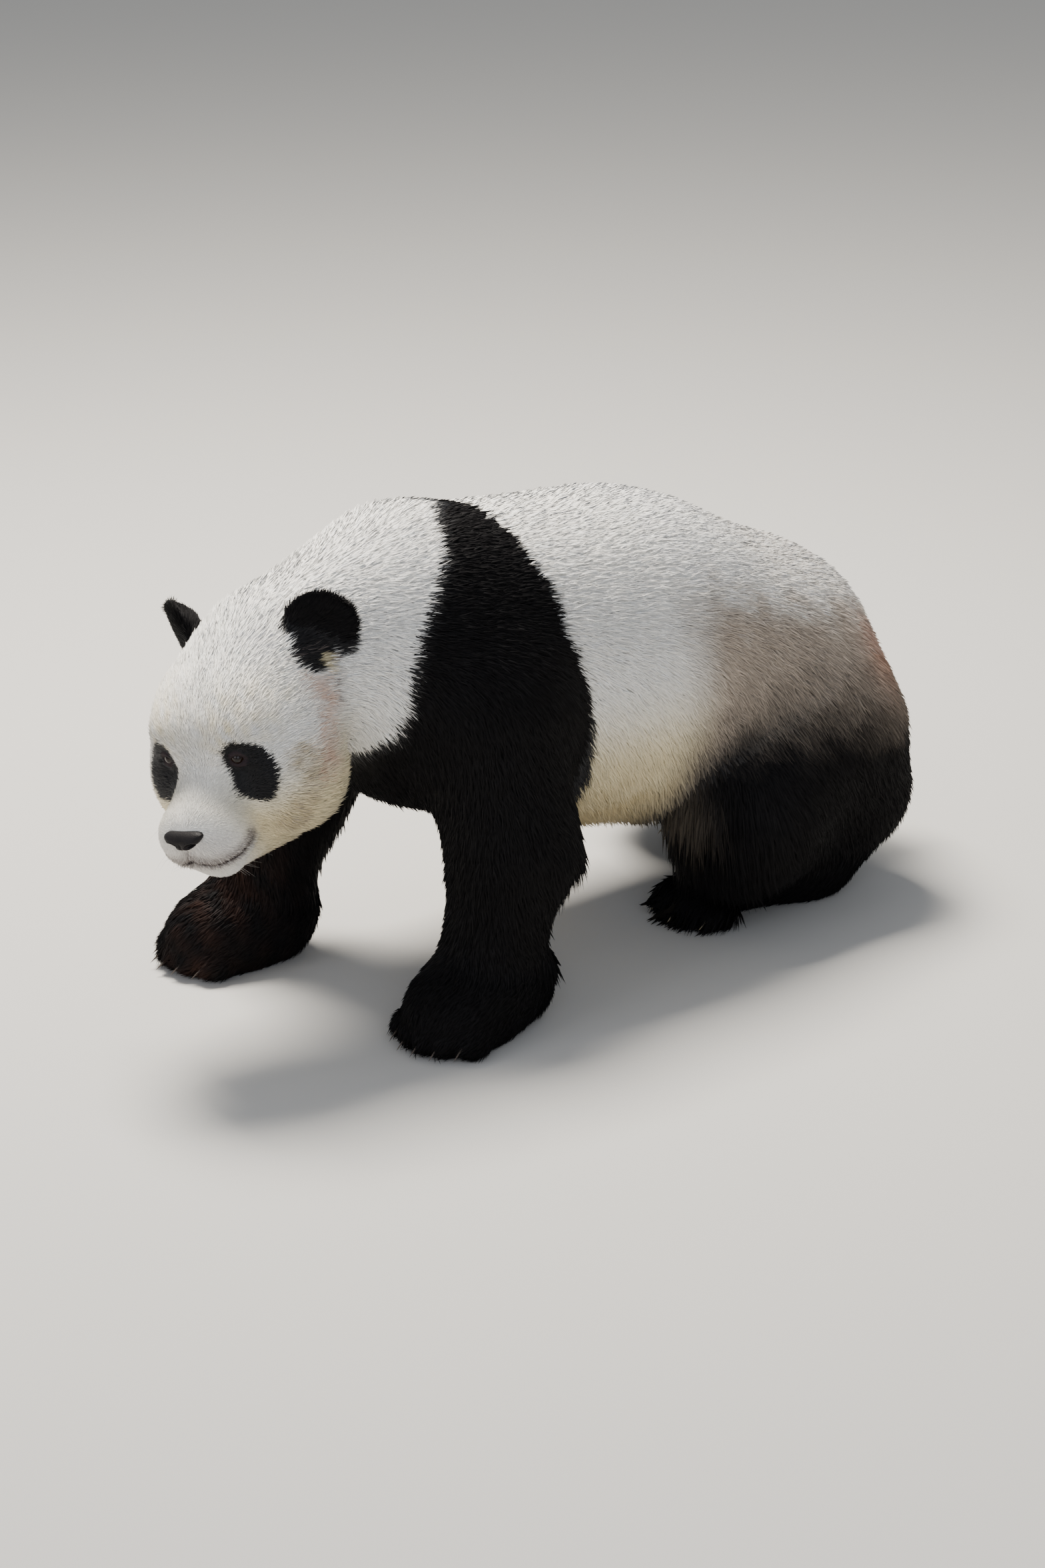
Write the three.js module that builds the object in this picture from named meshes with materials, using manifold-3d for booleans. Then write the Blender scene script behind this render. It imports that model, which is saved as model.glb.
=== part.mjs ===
// A giant panda at life size, walking with its head low, as a still model.
// Millimetres, +Z up. The face looks along -Y and the animal's left side is +X.
// The body is one smooth field of tapered bones and muscle masses out to the tips of
// the coat; each node is that field's surface, cut from its neighbours by flat cuts.
import * as THREE from "three";
import { mergeVertices } from "three/addons/utils/BufferGeometryUtils.js";
import Module from "manifold-3d";

// ---------------------------------------------------------------- driving dimensions
const GAP = 0.3; // air between neighbouring solids
const WELD = 0.02; // corners closer than this are one corner
const DEG = Math.PI / 180;

// The head's own frame: its centre in the body, and its turn, nod and lean.
const HEAD = {
  centre: [31, -533, 461],
  turn: 21 * DEG, // face towards the animal's left
  nod: 17 * DEG, // face down
  lean: -12 * DEG, // left ear up
  back: 105, // head and neck part this far behind the centre
};
const SKULL = { at: [0, 22, 32], r: [136, 140, 110] };
const NAPE = { at: [0, 86, 26], r: [120, 96, 92] };
const CHEEK = { at: [79, -26, -38], r: [67, 88, 88] };
const BROW = { at: [45, -56, 55], r: [46, 45, 32] };
const MUZZLE = { from: [0, -60, -30], to: [0, -151, -50], r: [77, 50] };
const LIP = { at: [34, -152, -58], r: [38, 42, 38] }; // the swelling that bears the whiskers
const JAW = { from: [0, -45, -86], to: [0, -140, -95], r: [74, 37] };
const HOLLOW = { at: [64, -132, 29], r: 27, soft: 12 }; // the dip that holds an eye
const HEAD_BLEND = 12;
const NOSE = { at: [0, -197, -38], r: [36, 17, 17] };
const EYE = { at: [57, -97, 30], r: 11 };
const EAR = { at: [113, 95, 119], r: [51, 19, 53], cup: 11, splay: 38 * DEG, tip: 20 * DEG, around: 16, along: 10 };
const EAR_DROP = { left: 0, right: 9 }; // the right ear is carried a little lower

const NECK = [
  { from: [0, -270, 522], to: [14, 100, 38], r: [184, 118] },
  { from: [0, -235, 592], to: [14, 82, 52], r: [132, 110] },
]; // from: in the body, to: in the head's frame

const CHEST = { at: [0, -185, 475], r: [215, 215, 195] };
const WITHERS = { at: [0, -110, 545], r: [130, 150, 125] };
const BARREL = { at: [0, 100, 431], r: [236, 315, 250] };
const RUMP = { at: [0, 378, 370], r: [224, 252, 184] };
const TRUNK_BLEND = 45;

const FORELEG = {
  left: { shoulder: [145, -200, 450], elbow: [205, -200, 270], wrist: [212, -250, 95], toe_out: 11 * DEG, heel_back: 38 },
  right: { shoulder: [-145, -225, 430], elbow: [-203, -288, 270], wrist: [-212, -344, 95], toe_out: -8 * DEG, heel_back: 12 },
  r: { upper: [118, 88], lower: [83, 70], heel: 70 },
};
const FOREPAW = {
  ahead: 62, lift: 45, heel_lift: 62, r: [74, 88, 54],
  toes: [106, 124, 130, 122, 102], spread: 29, toe_r: 26, toe_z: 25,
};
const HINDLEG = {
  left: {
    hip: [108, 438, 272], knee: [170, 288, 194], ham: [130, 486, 252], calf: [150, 496, 176],
    heel: [124, 448, 78], ball: [112, 284, 50], toe_out: 0,
  },
  right: {
    hip: [-108, 470, 272], knee: [-180, 455, 210], ham: [-124, 545, 250], calf: [-128, 600, 180],
    heel: [-120, 662, 78], ball: [-114, 498, 50], toe_out: 0,
  },
  r: { thigh: [168, 120], shank: [110, 78], ham: [116, 108], calf: [94, 76], foot: [74, 56] },
};
const HINDPAW = { toes: [34, 46, 50, 46, 34], spread: 27, toe_r: 25, toe_z: 24 };
const TAIL = { from: [0, 600, 395], to: [0, 668, 290], r: [46, 34] };
const LEG_BLEND = 20; // within a leg
const JOIN = { neck: 60, head: 30, leg: 50, pair: 14, toe: 12 }; // how softly the masses run together

const CLAW = { fore: 24, hind: 30, r: 4.6, sides: 4, rings: 2, droop: 0.36 };

// Flat cuts between the nodes, in the body's frame.
const CUT = {
  paw: 112, elbow: 262, shoulder: 560, // heights of the cuts across a foreleg
  foot: 100, knee: 190, hip: 440, // and across a hind leg
  chest: -365, loin: -75, flank: 185, croup: 235, // stations along the trunk
  arm: 130, forearm: 92, thigh: 112, inner: 20, // distance of a leg's inner cut from the middle
};
// Grid step of each node's surface: fine where the shape is small.
const STEP = {
  head: 24, neck: 48, shoulders: 54, trunk: 60, rump: 54, upper_arm: 48, forearm: 44,
  forepaw: 35, thigh: 48, shank: 44, hindfoot: 37, tail: 30,
};

// ---------------------------------------------------------------- colours and finishes
const finish = {
  white_coat: { color: 0xe9e5da, roughness: 0.9, metalness: 0 },
  grey_coat: { color: 0x8d8279, roughness: 0.9, metalness: 0 },
  black_coat: { color: 0x1a1819, roughness: 0.85, metalness: 0 },
  nose_leather: { color: 0x1d1a1b, roughness: 0.45, metalness: 0 },
  eye: { color: 0x1b100b, roughness: 0.08, metalness: 0 },
  claw_horn: { color: 0xa8977c, roughness: 0.4, metalness: 0 },
};

// ---------------------------------------------------------------- frames
const headTurn = new THREE.Matrix4()
  .makeRotationZ(HEAD.turn)
  .multiply(new THREE.Matrix4().makeRotationX(HEAD.nod))
  .multiply(new THREE.Matrix4().makeRotationY(HEAD.lean));
const headFrame = new THREE.Matrix4().makeTranslation(...HEAD.centre).multiply(headTurn);
const inHead = (p) => new THREE.Vector3(...p).applyMatrix4(headFrame).toArray();

// ---------------------------------------------------------------- field of the body
// Every shape below is a function of a point that is below zero inside the shape.

// A tapered bone with round ends, from a to b.
function bone(a, b, [ra, rb]) {
  const d = b.map((v, i) => v - a[i]);
  const dd = d[0] * d[0] + d[1] * d[1] + d[2] * d[2];
  return (x, y, z) => {
    const px = x - a[0], py = y - a[1], pz = z - a[2];
    const t = Math.min(1, Math.max(0, (px * d[0] + py * d[1] + pz * d[2]) / dd));
    return Math.hypot(px - t * d[0], py - t * d[1], pz - t * d[2]) - (ra + (rb - ra) * t);
  };
}

// An ellipsoid; frame is the matrix whose columns are its own axes, if it is turned.
function egg(c, r, frame) {
  const e = frame ? frame.elements : [1, 0, 0, 0, 0, 1, 0, 0, 0, 0, 1, 0];
  return (x, y, z) => {
    const px = x - c[0], py = y - c[1], pz = z - c[2];
    const u = px * e[0] + py * e[1] + pz * e[2];
    const v = px * e[4] + py * e[5] + pz * e[6];
    const w = px * e[8] + py * e[9] + pz * e[10];
    const k0 = Math.hypot(u / r[0], v / r[1], w / r[2]);
    const k1 = Math.hypot(u / (r[0] * r[0]), v / (r[1] * r[1]), w / (r[2] * r[2]));
    return k1 < 1e-9 ? -Math.min(...r) : (k0 * (k0 - 1)) / k1;
  };
}

// Several shapes run together evenly, over about k millimetres.
function blend(k, shapes) {
  return (x, y, z) => {
    let sum = 0, low = Infinity;
    const d = shapes.map((s) => s(x, y, z));
    for (const v of d) low = Math.min(low, v);
    for (const v of d) sum += Math.exp((low - v) / k);
    return low - k * Math.log(sum);
  };
}

// Two shapes joined with a fillet about k wide.
function join(k, f, g) {
  return (x, y, z) => {
    const a = f(x, y, z), b = g(x, y, z);
    const h = Math.max(k - Math.abs(a - b), 0) / k;
    return Math.min(a, b) - (h * h * k) / 4;
  };
}

// f with g hollowed out of it, the rim rounded over about k.
function hollow(k, f, g) {
  return (x, y, z) => {
    const a = -f(x, y, z), b = g(x, y, z);
    const h = Math.max(k - Math.abs(a - b), 0) / k;
    return -(Math.min(a, b) - (h * h * k) / 4);
  };
}

const mirror = (p, s) => [p[0] * s, p[1], p[2]];
const SIDES = [["left", 1], ["right", -1]];

function headField() {
  const parts = [
    egg(inHead(SKULL.at), SKULL.r, headTurn),
    egg(inHead(NAPE.at), NAPE.r, headTurn),
    bone(inHead(MUZZLE.from), inHead(MUZZLE.to), MUZZLE.r),
    bone(inHead(JAW.from), inHead(JAW.to), JAW.r),
  ];
  for (const [, s] of SIDES) {
    parts.push(egg(inHead(mirror(CHEEK.at, s)), CHEEK.r, headTurn));
    parts.push(egg(inHead(mirror(BROW.at, s)), BROW.r, headTurn));
    parts.push(egg(inHead(mirror(LIP.at, s)), LIP.r, headTurn));
  }
  let f = blend(HEAD_BLEND, parts);
  for (const [, s] of SIDES)
    f = hollow(HOLLOW.soft, f, egg(inHead(mirror(HOLLOW.at, s)), [HOLLOW.r, HOLLOW.r, HOLLOW.r]));
  return f;
}

function neckField() {
  return blend(20, NECK.map((n) => bone(n.from, inHead(n.to), n.r)));
}

function trunkField() {
  return blend(TRUNK_BLEND, [CHEST, WITHERS, BARREL, RUMP].map((m) => egg(m.at, m.r)));
}

// The toes of a paw: their centres, with x across the paw and y ahead of it.
function toeCentres(paw, root, out) {
  return paw.toes.map((ahead, i) => {
    const across = (i - 2) * paw.spread;
    return [
      root[0] + across * Math.cos(out) + ahead * Math.sin(out),
      root[1] + across * Math.sin(out) - ahead * Math.cos(out),
      paw.toe_z,
    ];
  });
}

function forelegField(side) {
  const { shoulder, elbow, wrist, toe_out, heel_back } = FORELEG[side];
  const { r } = FORELEG;
  const turn = new THREE.Matrix4().makeRotationZ(toe_out);
  const ahead = [Math.sin(toe_out), -Math.cos(toe_out)];
  const along = (far, up) => [wrist[0] + ahead[0] * far, wrist[1] + ahead[1] * far, up];
  const palm = along(FOREPAW.ahead, FOREPAW.lift);
  let f = blend(LEG_BLEND, [
    bone(shoulder, elbow, r.upper),
    bone(elbow, wrist, r.lower),
    bone(along(-heel_back, FOREPAW.heel_lift), palm, [r.heel, 60]),
    egg(palm, FOREPAW.r, turn),
  ]);
  for (const c of toeCentres(FOREPAW, wrist, toe_out)) {
    const toe = egg(c, [FOREPAW.toe_r, FOREPAW.toe_r * 1.3, FOREPAW.toe_r], turn);
    f = join(JOIN.toe, f, toe);
  }
  return f;
}

function hindlegField(side) {
  const { hip, knee, ham, calf, heel, ball, toe_out } = HINDLEG[side];
  const { r } = HINDLEG;
  let f = blend(LEG_BLEND, [
    bone(hip, knee, r.thigh), bone(knee, heel, r.shank), bone(ham, calf, r.ham),
    bone(calf, heel, r.calf), bone(heel, ball, r.foot),
  ]);
  for (const c of toeCentres(HINDPAW, ball, toe_out)) {
    const toe = egg(c, [HINDPAW.toe_r, HINDPAW.toe_r * 1.3, HINDPAW.toe_r]);
    f = join(JOIN.toe, f, toe);
  }
  return f;
}

const headOnly = headField();
let body = join(JOIN.head, join(JOIN.neck, trunkField(), neckField()), headOnly);
body = join(JOIN.leg, body, join(JOIN.pair, forelegField("left"), forelegField("right")));
body = join(JOIN.leg, body, join(JOIN.pair, hindlegField("left"), hindlegField("right")));

// ---------------------------------------------------------------- surfaces
// The point moved onto the zero of field along its slope, by no more than far.
function ontoSurface(field, [x, y, z], far) {
  const f = field(x, y, z), e = 0.5;
  const g = [field(x + e, y, z) - f, field(x, y + e, z) - f, field(x, y, z + e) - f].map((v) => v / e);
  const gg = g[0] * g[0] + g[1] * g[1] + g[2] * g[2];
  const t = Math.max(-far, Math.min(far, f / Math.sqrt(gg))) / Math.sqrt(gg);
  return [x - g[0] * t, y - g[1] * t, z - g[2] * t];
}

// True when every edge of the mesh is shared by exactly two triangles.
function isSimple(g) {
  const t = g.index.array, seen = new Map();
  for (let i = 0; i < t.length; i++) {
    const a = t[i], b = t[i % 3 === 2 ? i - 2 : i + 1];
    const key = Math.min(a, b) * 1e6 + Math.max(a, b);
    seen.set(key, (seen.get(key) ?? 0) + 1);
  }
  return [...seen.values()].every((n) => n === 2);
}

// The closed surface where field is zero, inside the box lo to hi. The grid is slid a
// little where the surface pinches a cell, until no edge is shared by more than two faces.
function surfaceOf(field, lo, hi, step) {
  for (let slide = 0; slide < 1; slide += 0.13) {
    const g = gridSurface(field, lo.map((v) => v - slide * step), hi, step);
    if (isSimple(g)) return g;
  }
  throw new Error("the surface pinches on every grid");
}

// Each grid cell that the surface crosses gets one vertex, and each crossed grid edge
// gets one quad.
function gridSurface(field, lo, hi, step) {
  const n = lo.map((l, i) => Math.ceil((hi[i] - l) / step) + 1);
  const at = (i, j, k) => (i * n[1] + j) * n[2] + k;
  const F = new Float64Array(n[0] * n[1] * n[2]).fill(1);
  for (let i = 1; i < n[0] - 1; i++)
    for (let j = 1; j < n[1] - 1; j++)
      for (let k = 1; k < n[2] - 1; k++)
        F[at(i, j, k)] = field(lo[0] + i * step, lo[1] + j * step, lo[2] + k * step);
  const cell = new Int32Array(F.length).fill(-1);
  const pos = [];
  for (let i = 0; i < n[0] - 1; i++)
    for (let j = 0; j < n[1] - 1; j++)
      for (let k = 0; k < n[2] - 1; k++) {
        const sum = [0, 0, 0];
        let count = 0;
        for (let axis = 0; axis < 3; axis++)
          for (let c = 0; c < 4; c++) {
            const o = [0, 0, 0];
            o[(axis + 1) % 3] = c & 1;
            o[(axis + 2) % 3] = c >> 1;
            const q = o.slice();
            q[axis] = 1;
            const a = F[at(i + o[0], j + o[1], k + o[2])];
            const b = F[at(i + q[0], j + q[1], k + q[2])];
            if (a < 0 === b < 0) continue;
            const t = a / (a - b);
            for (let d = 0; d < 3; d++) sum[d] += d === axis ? t : o[d];
            count++;
          }
        if (!count) continue;
        cell[at(i, j, k)] = pos.length / 3;
        const p = [i, j, k].map((c, d) => lo[d] + (c + sum[d] / count) * step);
        const border = [i, j, k].some((c, d) => c < 1 || c > n[d] - 3);
        pos.push(...(border ? p : ontoSurface(field, p, step / 2)));
      }
  const index = [];
  for (let i = 0; i < n[0] - 1; i++)
    for (let j = 0; j < n[1] - 1; j++)
      for (let k = 0; k < n[2] - 1; k++)
        for (let axis = 0; axis < 3; axis++) {
          const q = [i, j, k];
          if (!q[(axis + 1) % 3] || !q[(axis + 2) % 3]) continue;
          q[axis]++;
          const inside = F[at(i, j, k)] < 0;
          if (inside === F[at(...q)] < 0) continue;
          const u = [0, 0, 0], v = [0, 0, 0];
          u[(axis + 1) % 3] = 1;
          v[(axis + 2) % 3] = 1;
          const id = (s, t) =>
            cell[at(i - s * u[0] - t * v[0], j - s * u[1] - t * v[1], k - s * u[2] - t * v[2])];
          const quad = [id(1, 1), id(0, 1), id(0, 0), id(1, 0)];
          if (!inside) quad.reverse();
          index.push(quad[0], quad[1], quad[2], quad[0], quad[2], quad[3]);
        }
  const g = new THREE.BufferGeometry();
  g.setAttribute("position", new THREE.Float32BufferAttribute(pos, 3));
  g.setIndex(index);
  return g;
}

// ---------------------------------------------------------------- solids
const wasm = await Module();
wasm.setup();

function solid(geometry) {
  const g = geometry.clone();
  g.deleteAttribute("normal");
  g.deleteAttribute("uv");
  const m = mergeVertices(g, 1e-3);
  return new wasm.Manifold(new wasm.Mesh({
    numProp: 3,
    vertProperties: new Float32Array(m.attributes.position.array),
    triVerts: new Uint32Array(m.index.array),
  }));
}

// The surface of a solid, with corners closer than WELD run together. A triangle that
// loses its width goes, and so do two triangles left lying face to face.
function geometryOf(made) {
  const m = made.getMesh();
  const pos = new Float32Array(m.numVert * 3);
  for (let i = 0; i < m.numVert; i++)
    for (let d = 0; d < 3; d++) pos[3 * i + d] = m.vertProperties[m.numProp * i + d];
  const raw = new THREE.BufferGeometry();
  raw.setAttribute("position", new THREE.BufferAttribute(pos, 3));
  raw.setIndex(new THREE.BufferAttribute(new Uint32Array(m.triVerts), 1));
  const g = mergeVertices(raw, WELD);
  const t = g.index.array, kept = new Map();
  for (let i = 0; i < t.length; i += 3) {
    const face = [t[i], t[i + 1], t[i + 2]];
    if (new Set(face).size < 3) continue;
    const key = face.toSorted((a, b) => a - b).join();
    if (!kept.delete(key)) kept.set(key, face);
  }
  g.setIndex([...kept.values()].flat());
  g.computeVertexNormals();
  return g;
}

// A box from lo to hi, grown by g all round, in the body's frame or in another one.
function block(lo, hi, g = 0, frame = null) {
  const size = hi.map((v, i) => v - lo[i] + 2 * g);
  const b = new THREE.BoxGeometry(...size);
  b.translate(...lo.map((v, i) => (v + hi[i]) / 2));
  if (frame) b.applyMatrix4(frame);
  return solid(b);
}

const FAR = 900;
const cuts = []; // every node's own block, in the order the nodes take their share of the body
for (const [side, s] of SIDES) {
  const span = (inner) => (s > 0 ? [inner, 400] : [-400, -inner]);
  const leg = (name, step, inner, y, z) => {
    const x = span(inner);
    cuts.push({ name: name + "_" + side, step, lo: [x[0], y[0], z[0]], hi: [x[1], y[1], z[1]], coat: "black_coat" });
  };
  leg("forepaw", STEP.forepaw, CUT.inner, [-FAR, 0], [0, CUT.paw]);
  leg("hindfoot", STEP.hindfoot, CUT.inner, [100, FAR], [0, CUT.foot]);
  const elbow = FORELEG[side].elbow[1];
  leg("forearm", STEP.forearm, CUT.forearm, [-FAR, elbow + 110], [CUT.paw, CUT.elbow]);
  leg("shank", STEP.shank, CUT.inner, [140, FAR], [CUT.foot, CUT.knee]);
  leg("upper_arm", STEP.upper_arm, CUT.arm, [Math.min(CUT.chest, elbow - 118), CUT.loin], [CUT.elbow, CUT.shoulder]);
  leg("thigh", STEP.thigh, CUT.thigh, [CUT.flank, FAR], [CUT.knee, CUT.hip]);
}
cuts.push({ name: "head", step: STEP.head, lo: [-200, -300, -200], hi: [200, HEAD.back, 200], frame: headFrame, coat: "white_coat" });
cuts.push({ name: "neck", step: STEP.neck, lo: [-182, -FAR, 292], hi: [230, CUT.chest, FAR], coat: "white_coat" });
cuts.push({ name: "shoulders", step: STEP.shoulders, lo: [-400, CUT.chest, 150], hi: [400, CUT.loin, FAR], coat: "black_coat" });
cuts.push({ name: "trunk", step: STEP.trunk, lo: [-400, CUT.loin, 120], hi: [400, CUT.croup, FAR], coat: "white_coat" });
cuts.push({ name: "rump", step: STEP.rump, lo: [-400, CUT.croup, 0], hi: [400, FAR, FAR], coat: "grey_coat" });

const group = new THREE.Group();
const solids = new Map();
function addNode(name, made, look) {
  solids.set(name, made);
  const mesh = new THREE.Mesh(geometryOf(made), new THREE.MeshStandardMaterial(finish[look]));
  mesh.name = name;
  group.add(mesh);
}

// Box corners of a node in the body's frame, with room for the grid to close round it.
function reach(c, pad) {
  const box = new THREE.Box3(new THREE.Vector3(...c.lo), new THREE.Vector3(...c.hi));
  if (c.frame) box.applyMatrix4(c.frame);
  const all = new THREE.Box3(new THREE.Vector3(-360, -830, -90), new THREE.Vector3(360, 780, 800));
  box.intersect(all).expandByScalar(pad);
  return [box.min.toArray(), box.max.toArray()];
}

for (let i = 0; i < cuts.length; i++) {
  const c = cuts[i];
  const [lo, hi] = reach(c, 2.2 * c.step);
  let made = solid(surfaceOf(body, lo, hi, c.step)).intersect(block(c.lo, c.hi, 0, c.frame));
  for (let j = 0; j < i; j++) made = made.subtract(block(cuts[j].lo, cuts[j].hi, GAP, cuts[j].frame));
  c.made = made;
}
const made = Object.fromEntries(cuts.map((c) => [c.name, c]));

// Nose and eyes sit in sockets cut into the head.
function eggGeometry(r, across, up, grow = 0) {
  const g = new THREE.SphereGeometry(1, across, up);
  g.scale(r[0] + grow, r[1] + grow, r[2] + grow);
  return g;
}
const placed = (g, at) => g.rotateX(Math.PI / 2).translate(...at).applyMatrix4(headFrame);
const noseRadii = [NOSE.r[0], NOSE.r[2], NOSE.r[1]];
addNode("nose", solid(placed(eggGeometry(noseRadii, 10, 7), NOSE.at)), "nose_leather");
made.head.made = made.head.made.subtract(solid(placed(eggGeometry(noseRadii, 10, 7, GAP + 0.1), NOSE.at)));
for (const [side, s] of SIDES) {
  const at = mirror(EYE.at, s), r = [EYE.r, EYE.r, EYE.r];
  addNode("eye_" + side, solid(placed(eggGeometry(r, 10, 6), at)), "eye");
  made.head.made = made.head.made.subtract(solid(placed(eggGeometry(r, 10, 6, GAP + 0.1), at)));
}

// An ear is a round flap standing on the head, its rim bent forward into a shallow cup.
function earGeometry() {
  const g = new THREE.SphereGeometry(1, EAR.around, EAR.along).rotateX(Math.PI / 2);
  const p = g.attributes.position;
  for (let i = 0; i < p.count; i++) {
    const [x, y, z] = [p.getX(i), p.getY(i), p.getZ(i)];
    p.setXYZ(i, x * EAR.r[0], y * EAR.r[1] - EAR.cup * (x * x + z * z), z * EAR.r[2]);
  }
  return g;
}
for (const [side, s] of SIDES) {
  const turn = new THREE.Matrix4().makeRotationZ(s * EAR.splay)
    .multiply(new THREE.Matrix4().makeRotationY(s * EAR.tip));
  const stand = new THREE.Matrix4().makeTranslation(...mirror(EAR.at, s)).multiply(turn);
  stand.premultiply(new THREE.Matrix4().makeTranslation(0, 0, -EAR_DROP[side]));
  const away = new THREE.Vector3(0.6 * s, 0, 0.8).setLength(GAP + 0.3).applyMatrix4(headTurn);
  const ear = solid(earGeometry().applyMatrix4(stand).applyMatrix4(headFrame))
    .subtract(made.head.made).subtract(made.neck.made).translate(away.toArray());
  addNode("ear_" + side, ear, "black_coat");
}

// The tail hangs flat against the rump.
const tailSurface = solid(surfaceOf(bone(TAIL.from, TAIL.to, TAIL.r), [-80, 500, 200], [80, 760, 500], STEP.tail));
addNode("tail", tailSurface.subtract(made.rump.made).translate([0, GAP + 0.2, 0]), "white_coat");

// A claw: a horn bent downwards, its round base on the toe.
function clawGeometry(length) {
  const pos = [], index = [], n = CLAW.sides;
  for (let i = 0; i <= CLAW.rings; i++) {
    const t = i / CLAW.rings;
    const y = -length * t, z = -length * CLAW.droop * t * t;
    const r = CLAW.r * (1 - 0.86 * t);
    for (let k = 0; k < n; k++) {
      const a = (2 * Math.PI * k) / n;
      pos.push(r * 0.8 * Math.cos(a), y, z + r * Math.sin(a));
    }
  }
  for (let i = 0; i < CLAW.rings; i++)
    for (let k = 0; k < n; k++) {
      const a = i * n + k, b = i * n + ((k + 1) % n);
      index.push(a, b, a + n, b, b + n, a + n);
    }
  for (let k = 1; k < n - 1; k++) {
    index.push(0, k + 1, k);
    index.push(CLAW.rings * n, CLAW.rings * n + k, CLAW.rings * n + k + 1);
  }
  const g = new THREE.BufferGeometry();
  g.setAttribute("position", new THREE.Float32BufferAttribute(pos, 3));
  g.setIndex(index);
  return g;
}
function addClaws(name, paw, root, out, length, foot) {
  toeCentres(paw, root, out).forEach((c, i) => {
    const g = clawGeometry(length + paw.toe_r);
    g.rotateZ(out).translate(c[0], c[1], c[2] + 4);
    const dir = [Math.sin(out) * (GAP + 0.2), -Math.cos(out) * (GAP + 0.2), 0];
    addNode(`${name}_${i + 1}`, solid(g).subtract(foot.made).translate(dir), "claw_horn");
  });
}
for (const [side] of SIDES) {
  const f = FORELEG[side], h = HINDLEG[side];
  addClaws("fore_claw_" + side, FOREPAW, f.wrist, f.toe_out, CLAW.fore, made["forepaw_" + side]);
  addClaws("hind_claw_" + side, HINDPAW, h.ball, h.toe_out, CLAW.hind, made["hindfoot_" + side]);
}

for (const c of cuts) addNode(c.name, c.made, c.coat);

// The origin is the middle of the model's box, on the floor.
const box = new THREE.Box3().setFromObject(group);
group.position.set(-(box.min.x + box.max.x) / 2, -(box.min.y + box.max.y) / 2, -box.min.z);

export default group;
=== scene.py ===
"""A giant panda at life size, walking with its head low: the looks of the still model.

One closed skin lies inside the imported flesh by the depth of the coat. Locks of hair, each
a thin closed wedge, lie over it along the lie of the coat. Eyes, nose pad, claws and
whiskers are pieces of their own. Lengths are metres; the face looks along -Y, the
animal's left side is +X and up is +Z.
"""

import logging
from dataclasses import dataclass, field
from enum import Enum
from typing import Callable, Iterable

import bmesh
import bpy
import numpy as np
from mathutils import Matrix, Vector

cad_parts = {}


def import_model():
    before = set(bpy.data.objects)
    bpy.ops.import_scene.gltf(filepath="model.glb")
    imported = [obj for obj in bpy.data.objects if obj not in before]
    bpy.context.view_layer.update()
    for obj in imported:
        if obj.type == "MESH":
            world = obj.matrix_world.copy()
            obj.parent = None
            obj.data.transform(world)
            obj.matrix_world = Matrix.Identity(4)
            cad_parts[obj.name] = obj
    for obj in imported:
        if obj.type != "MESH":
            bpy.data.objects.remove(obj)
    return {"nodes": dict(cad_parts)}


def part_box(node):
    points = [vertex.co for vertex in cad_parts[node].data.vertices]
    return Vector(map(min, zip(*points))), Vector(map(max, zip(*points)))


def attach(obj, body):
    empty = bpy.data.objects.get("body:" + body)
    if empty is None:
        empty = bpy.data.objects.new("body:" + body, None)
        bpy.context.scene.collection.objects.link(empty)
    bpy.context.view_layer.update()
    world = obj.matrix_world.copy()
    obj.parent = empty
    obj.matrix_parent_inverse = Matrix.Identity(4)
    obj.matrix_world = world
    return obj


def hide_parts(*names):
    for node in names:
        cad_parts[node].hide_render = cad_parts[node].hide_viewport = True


Array = np.ndarray
Field = Callable[[Array], Array]
LOG = logging.getLogger("panda")

MM = 0.001
DEG = np.pi / 180
SIDES = (("left", 1), ("right", -1))
DOWN = np.array([0.0, 0.0, -1.0])


# ------------------------------------------------------------------ small mathematics
def unit(v: Array) -> Array:
    """Each row of v, divided by its length."""
    return v / np.maximum(np.linalg.norm(v, axis=-1, keepdims=True), 1e-12)


def ramp(lo: float, hi: float, v: Array) -> Array:
    """A smooth step: 0 where v is at lo, 1 at hi, with 3t^2 - 2t^3 between.

    Args:
        lo: value where the step starts; it may be the larger one.
        hi: value where the step ends.
        v: values to look up.

    Returns:
        Values from 0 to 1.
    """
    t = np.clip((v - lo) / (hi - lo), 0, 1)
    return t * t * (3 - 2 * t)


def bump(v: Array, width: float) -> Array:
    """A bell curve of v: exp(-(v / width)^2)."""
    return np.exp(-((v / width) ** 2))


def turning(yaw: float, nod: float, lean: float) -> Array:
    """The frame turned by yaw about Z, then nod about its X, then lean about its Y.

    Args:
        yaw: turn about Z, radians.
        nod: turn about X, radians.
        lean: turn about Y, radians.

    Returns:
        A 3 x 3 matrix whose columns are the frame's axes.
    """
    cy, sy, cn, sn, cl, sl = (f(a) for a in (yaw, nod, lean) for f in (np.cos, np.sin))
    about_z = np.array([[cy, -sy, 0], [sy, cy, 0], [0, 0, 1]])
    about_x = np.array([[1, 0, 0], [0, cn, -sn], [0, sn, cn]])
    about_y = np.array([[cl, 0, sl], [0, 1, 0], [-sl, 0, cl]])
    return about_z @ about_x @ about_y


def ripple(p: Array, size: float, seed: int) -> Array:
    """Smooth noise: the mean of eight sine waves of random direction and phase.

    Args:
        p: points, n x 3.
        size: typical length of a wave, metres.
        seed: seed of the directions.

    Returns:
        n values around 0, mostly between -1 and 1.
    """
    rng = np.random.default_rng(seed)
    ways = unit(rng.normal(size=(8, 3))) * rng.uniform(0.7, 1.5, (8, 1)) * 2 * np.pi / size
    return np.sin(p @ ways.T + rng.uniform(0, 2 * np.pi, 8)).sum(1) / 4


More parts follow.
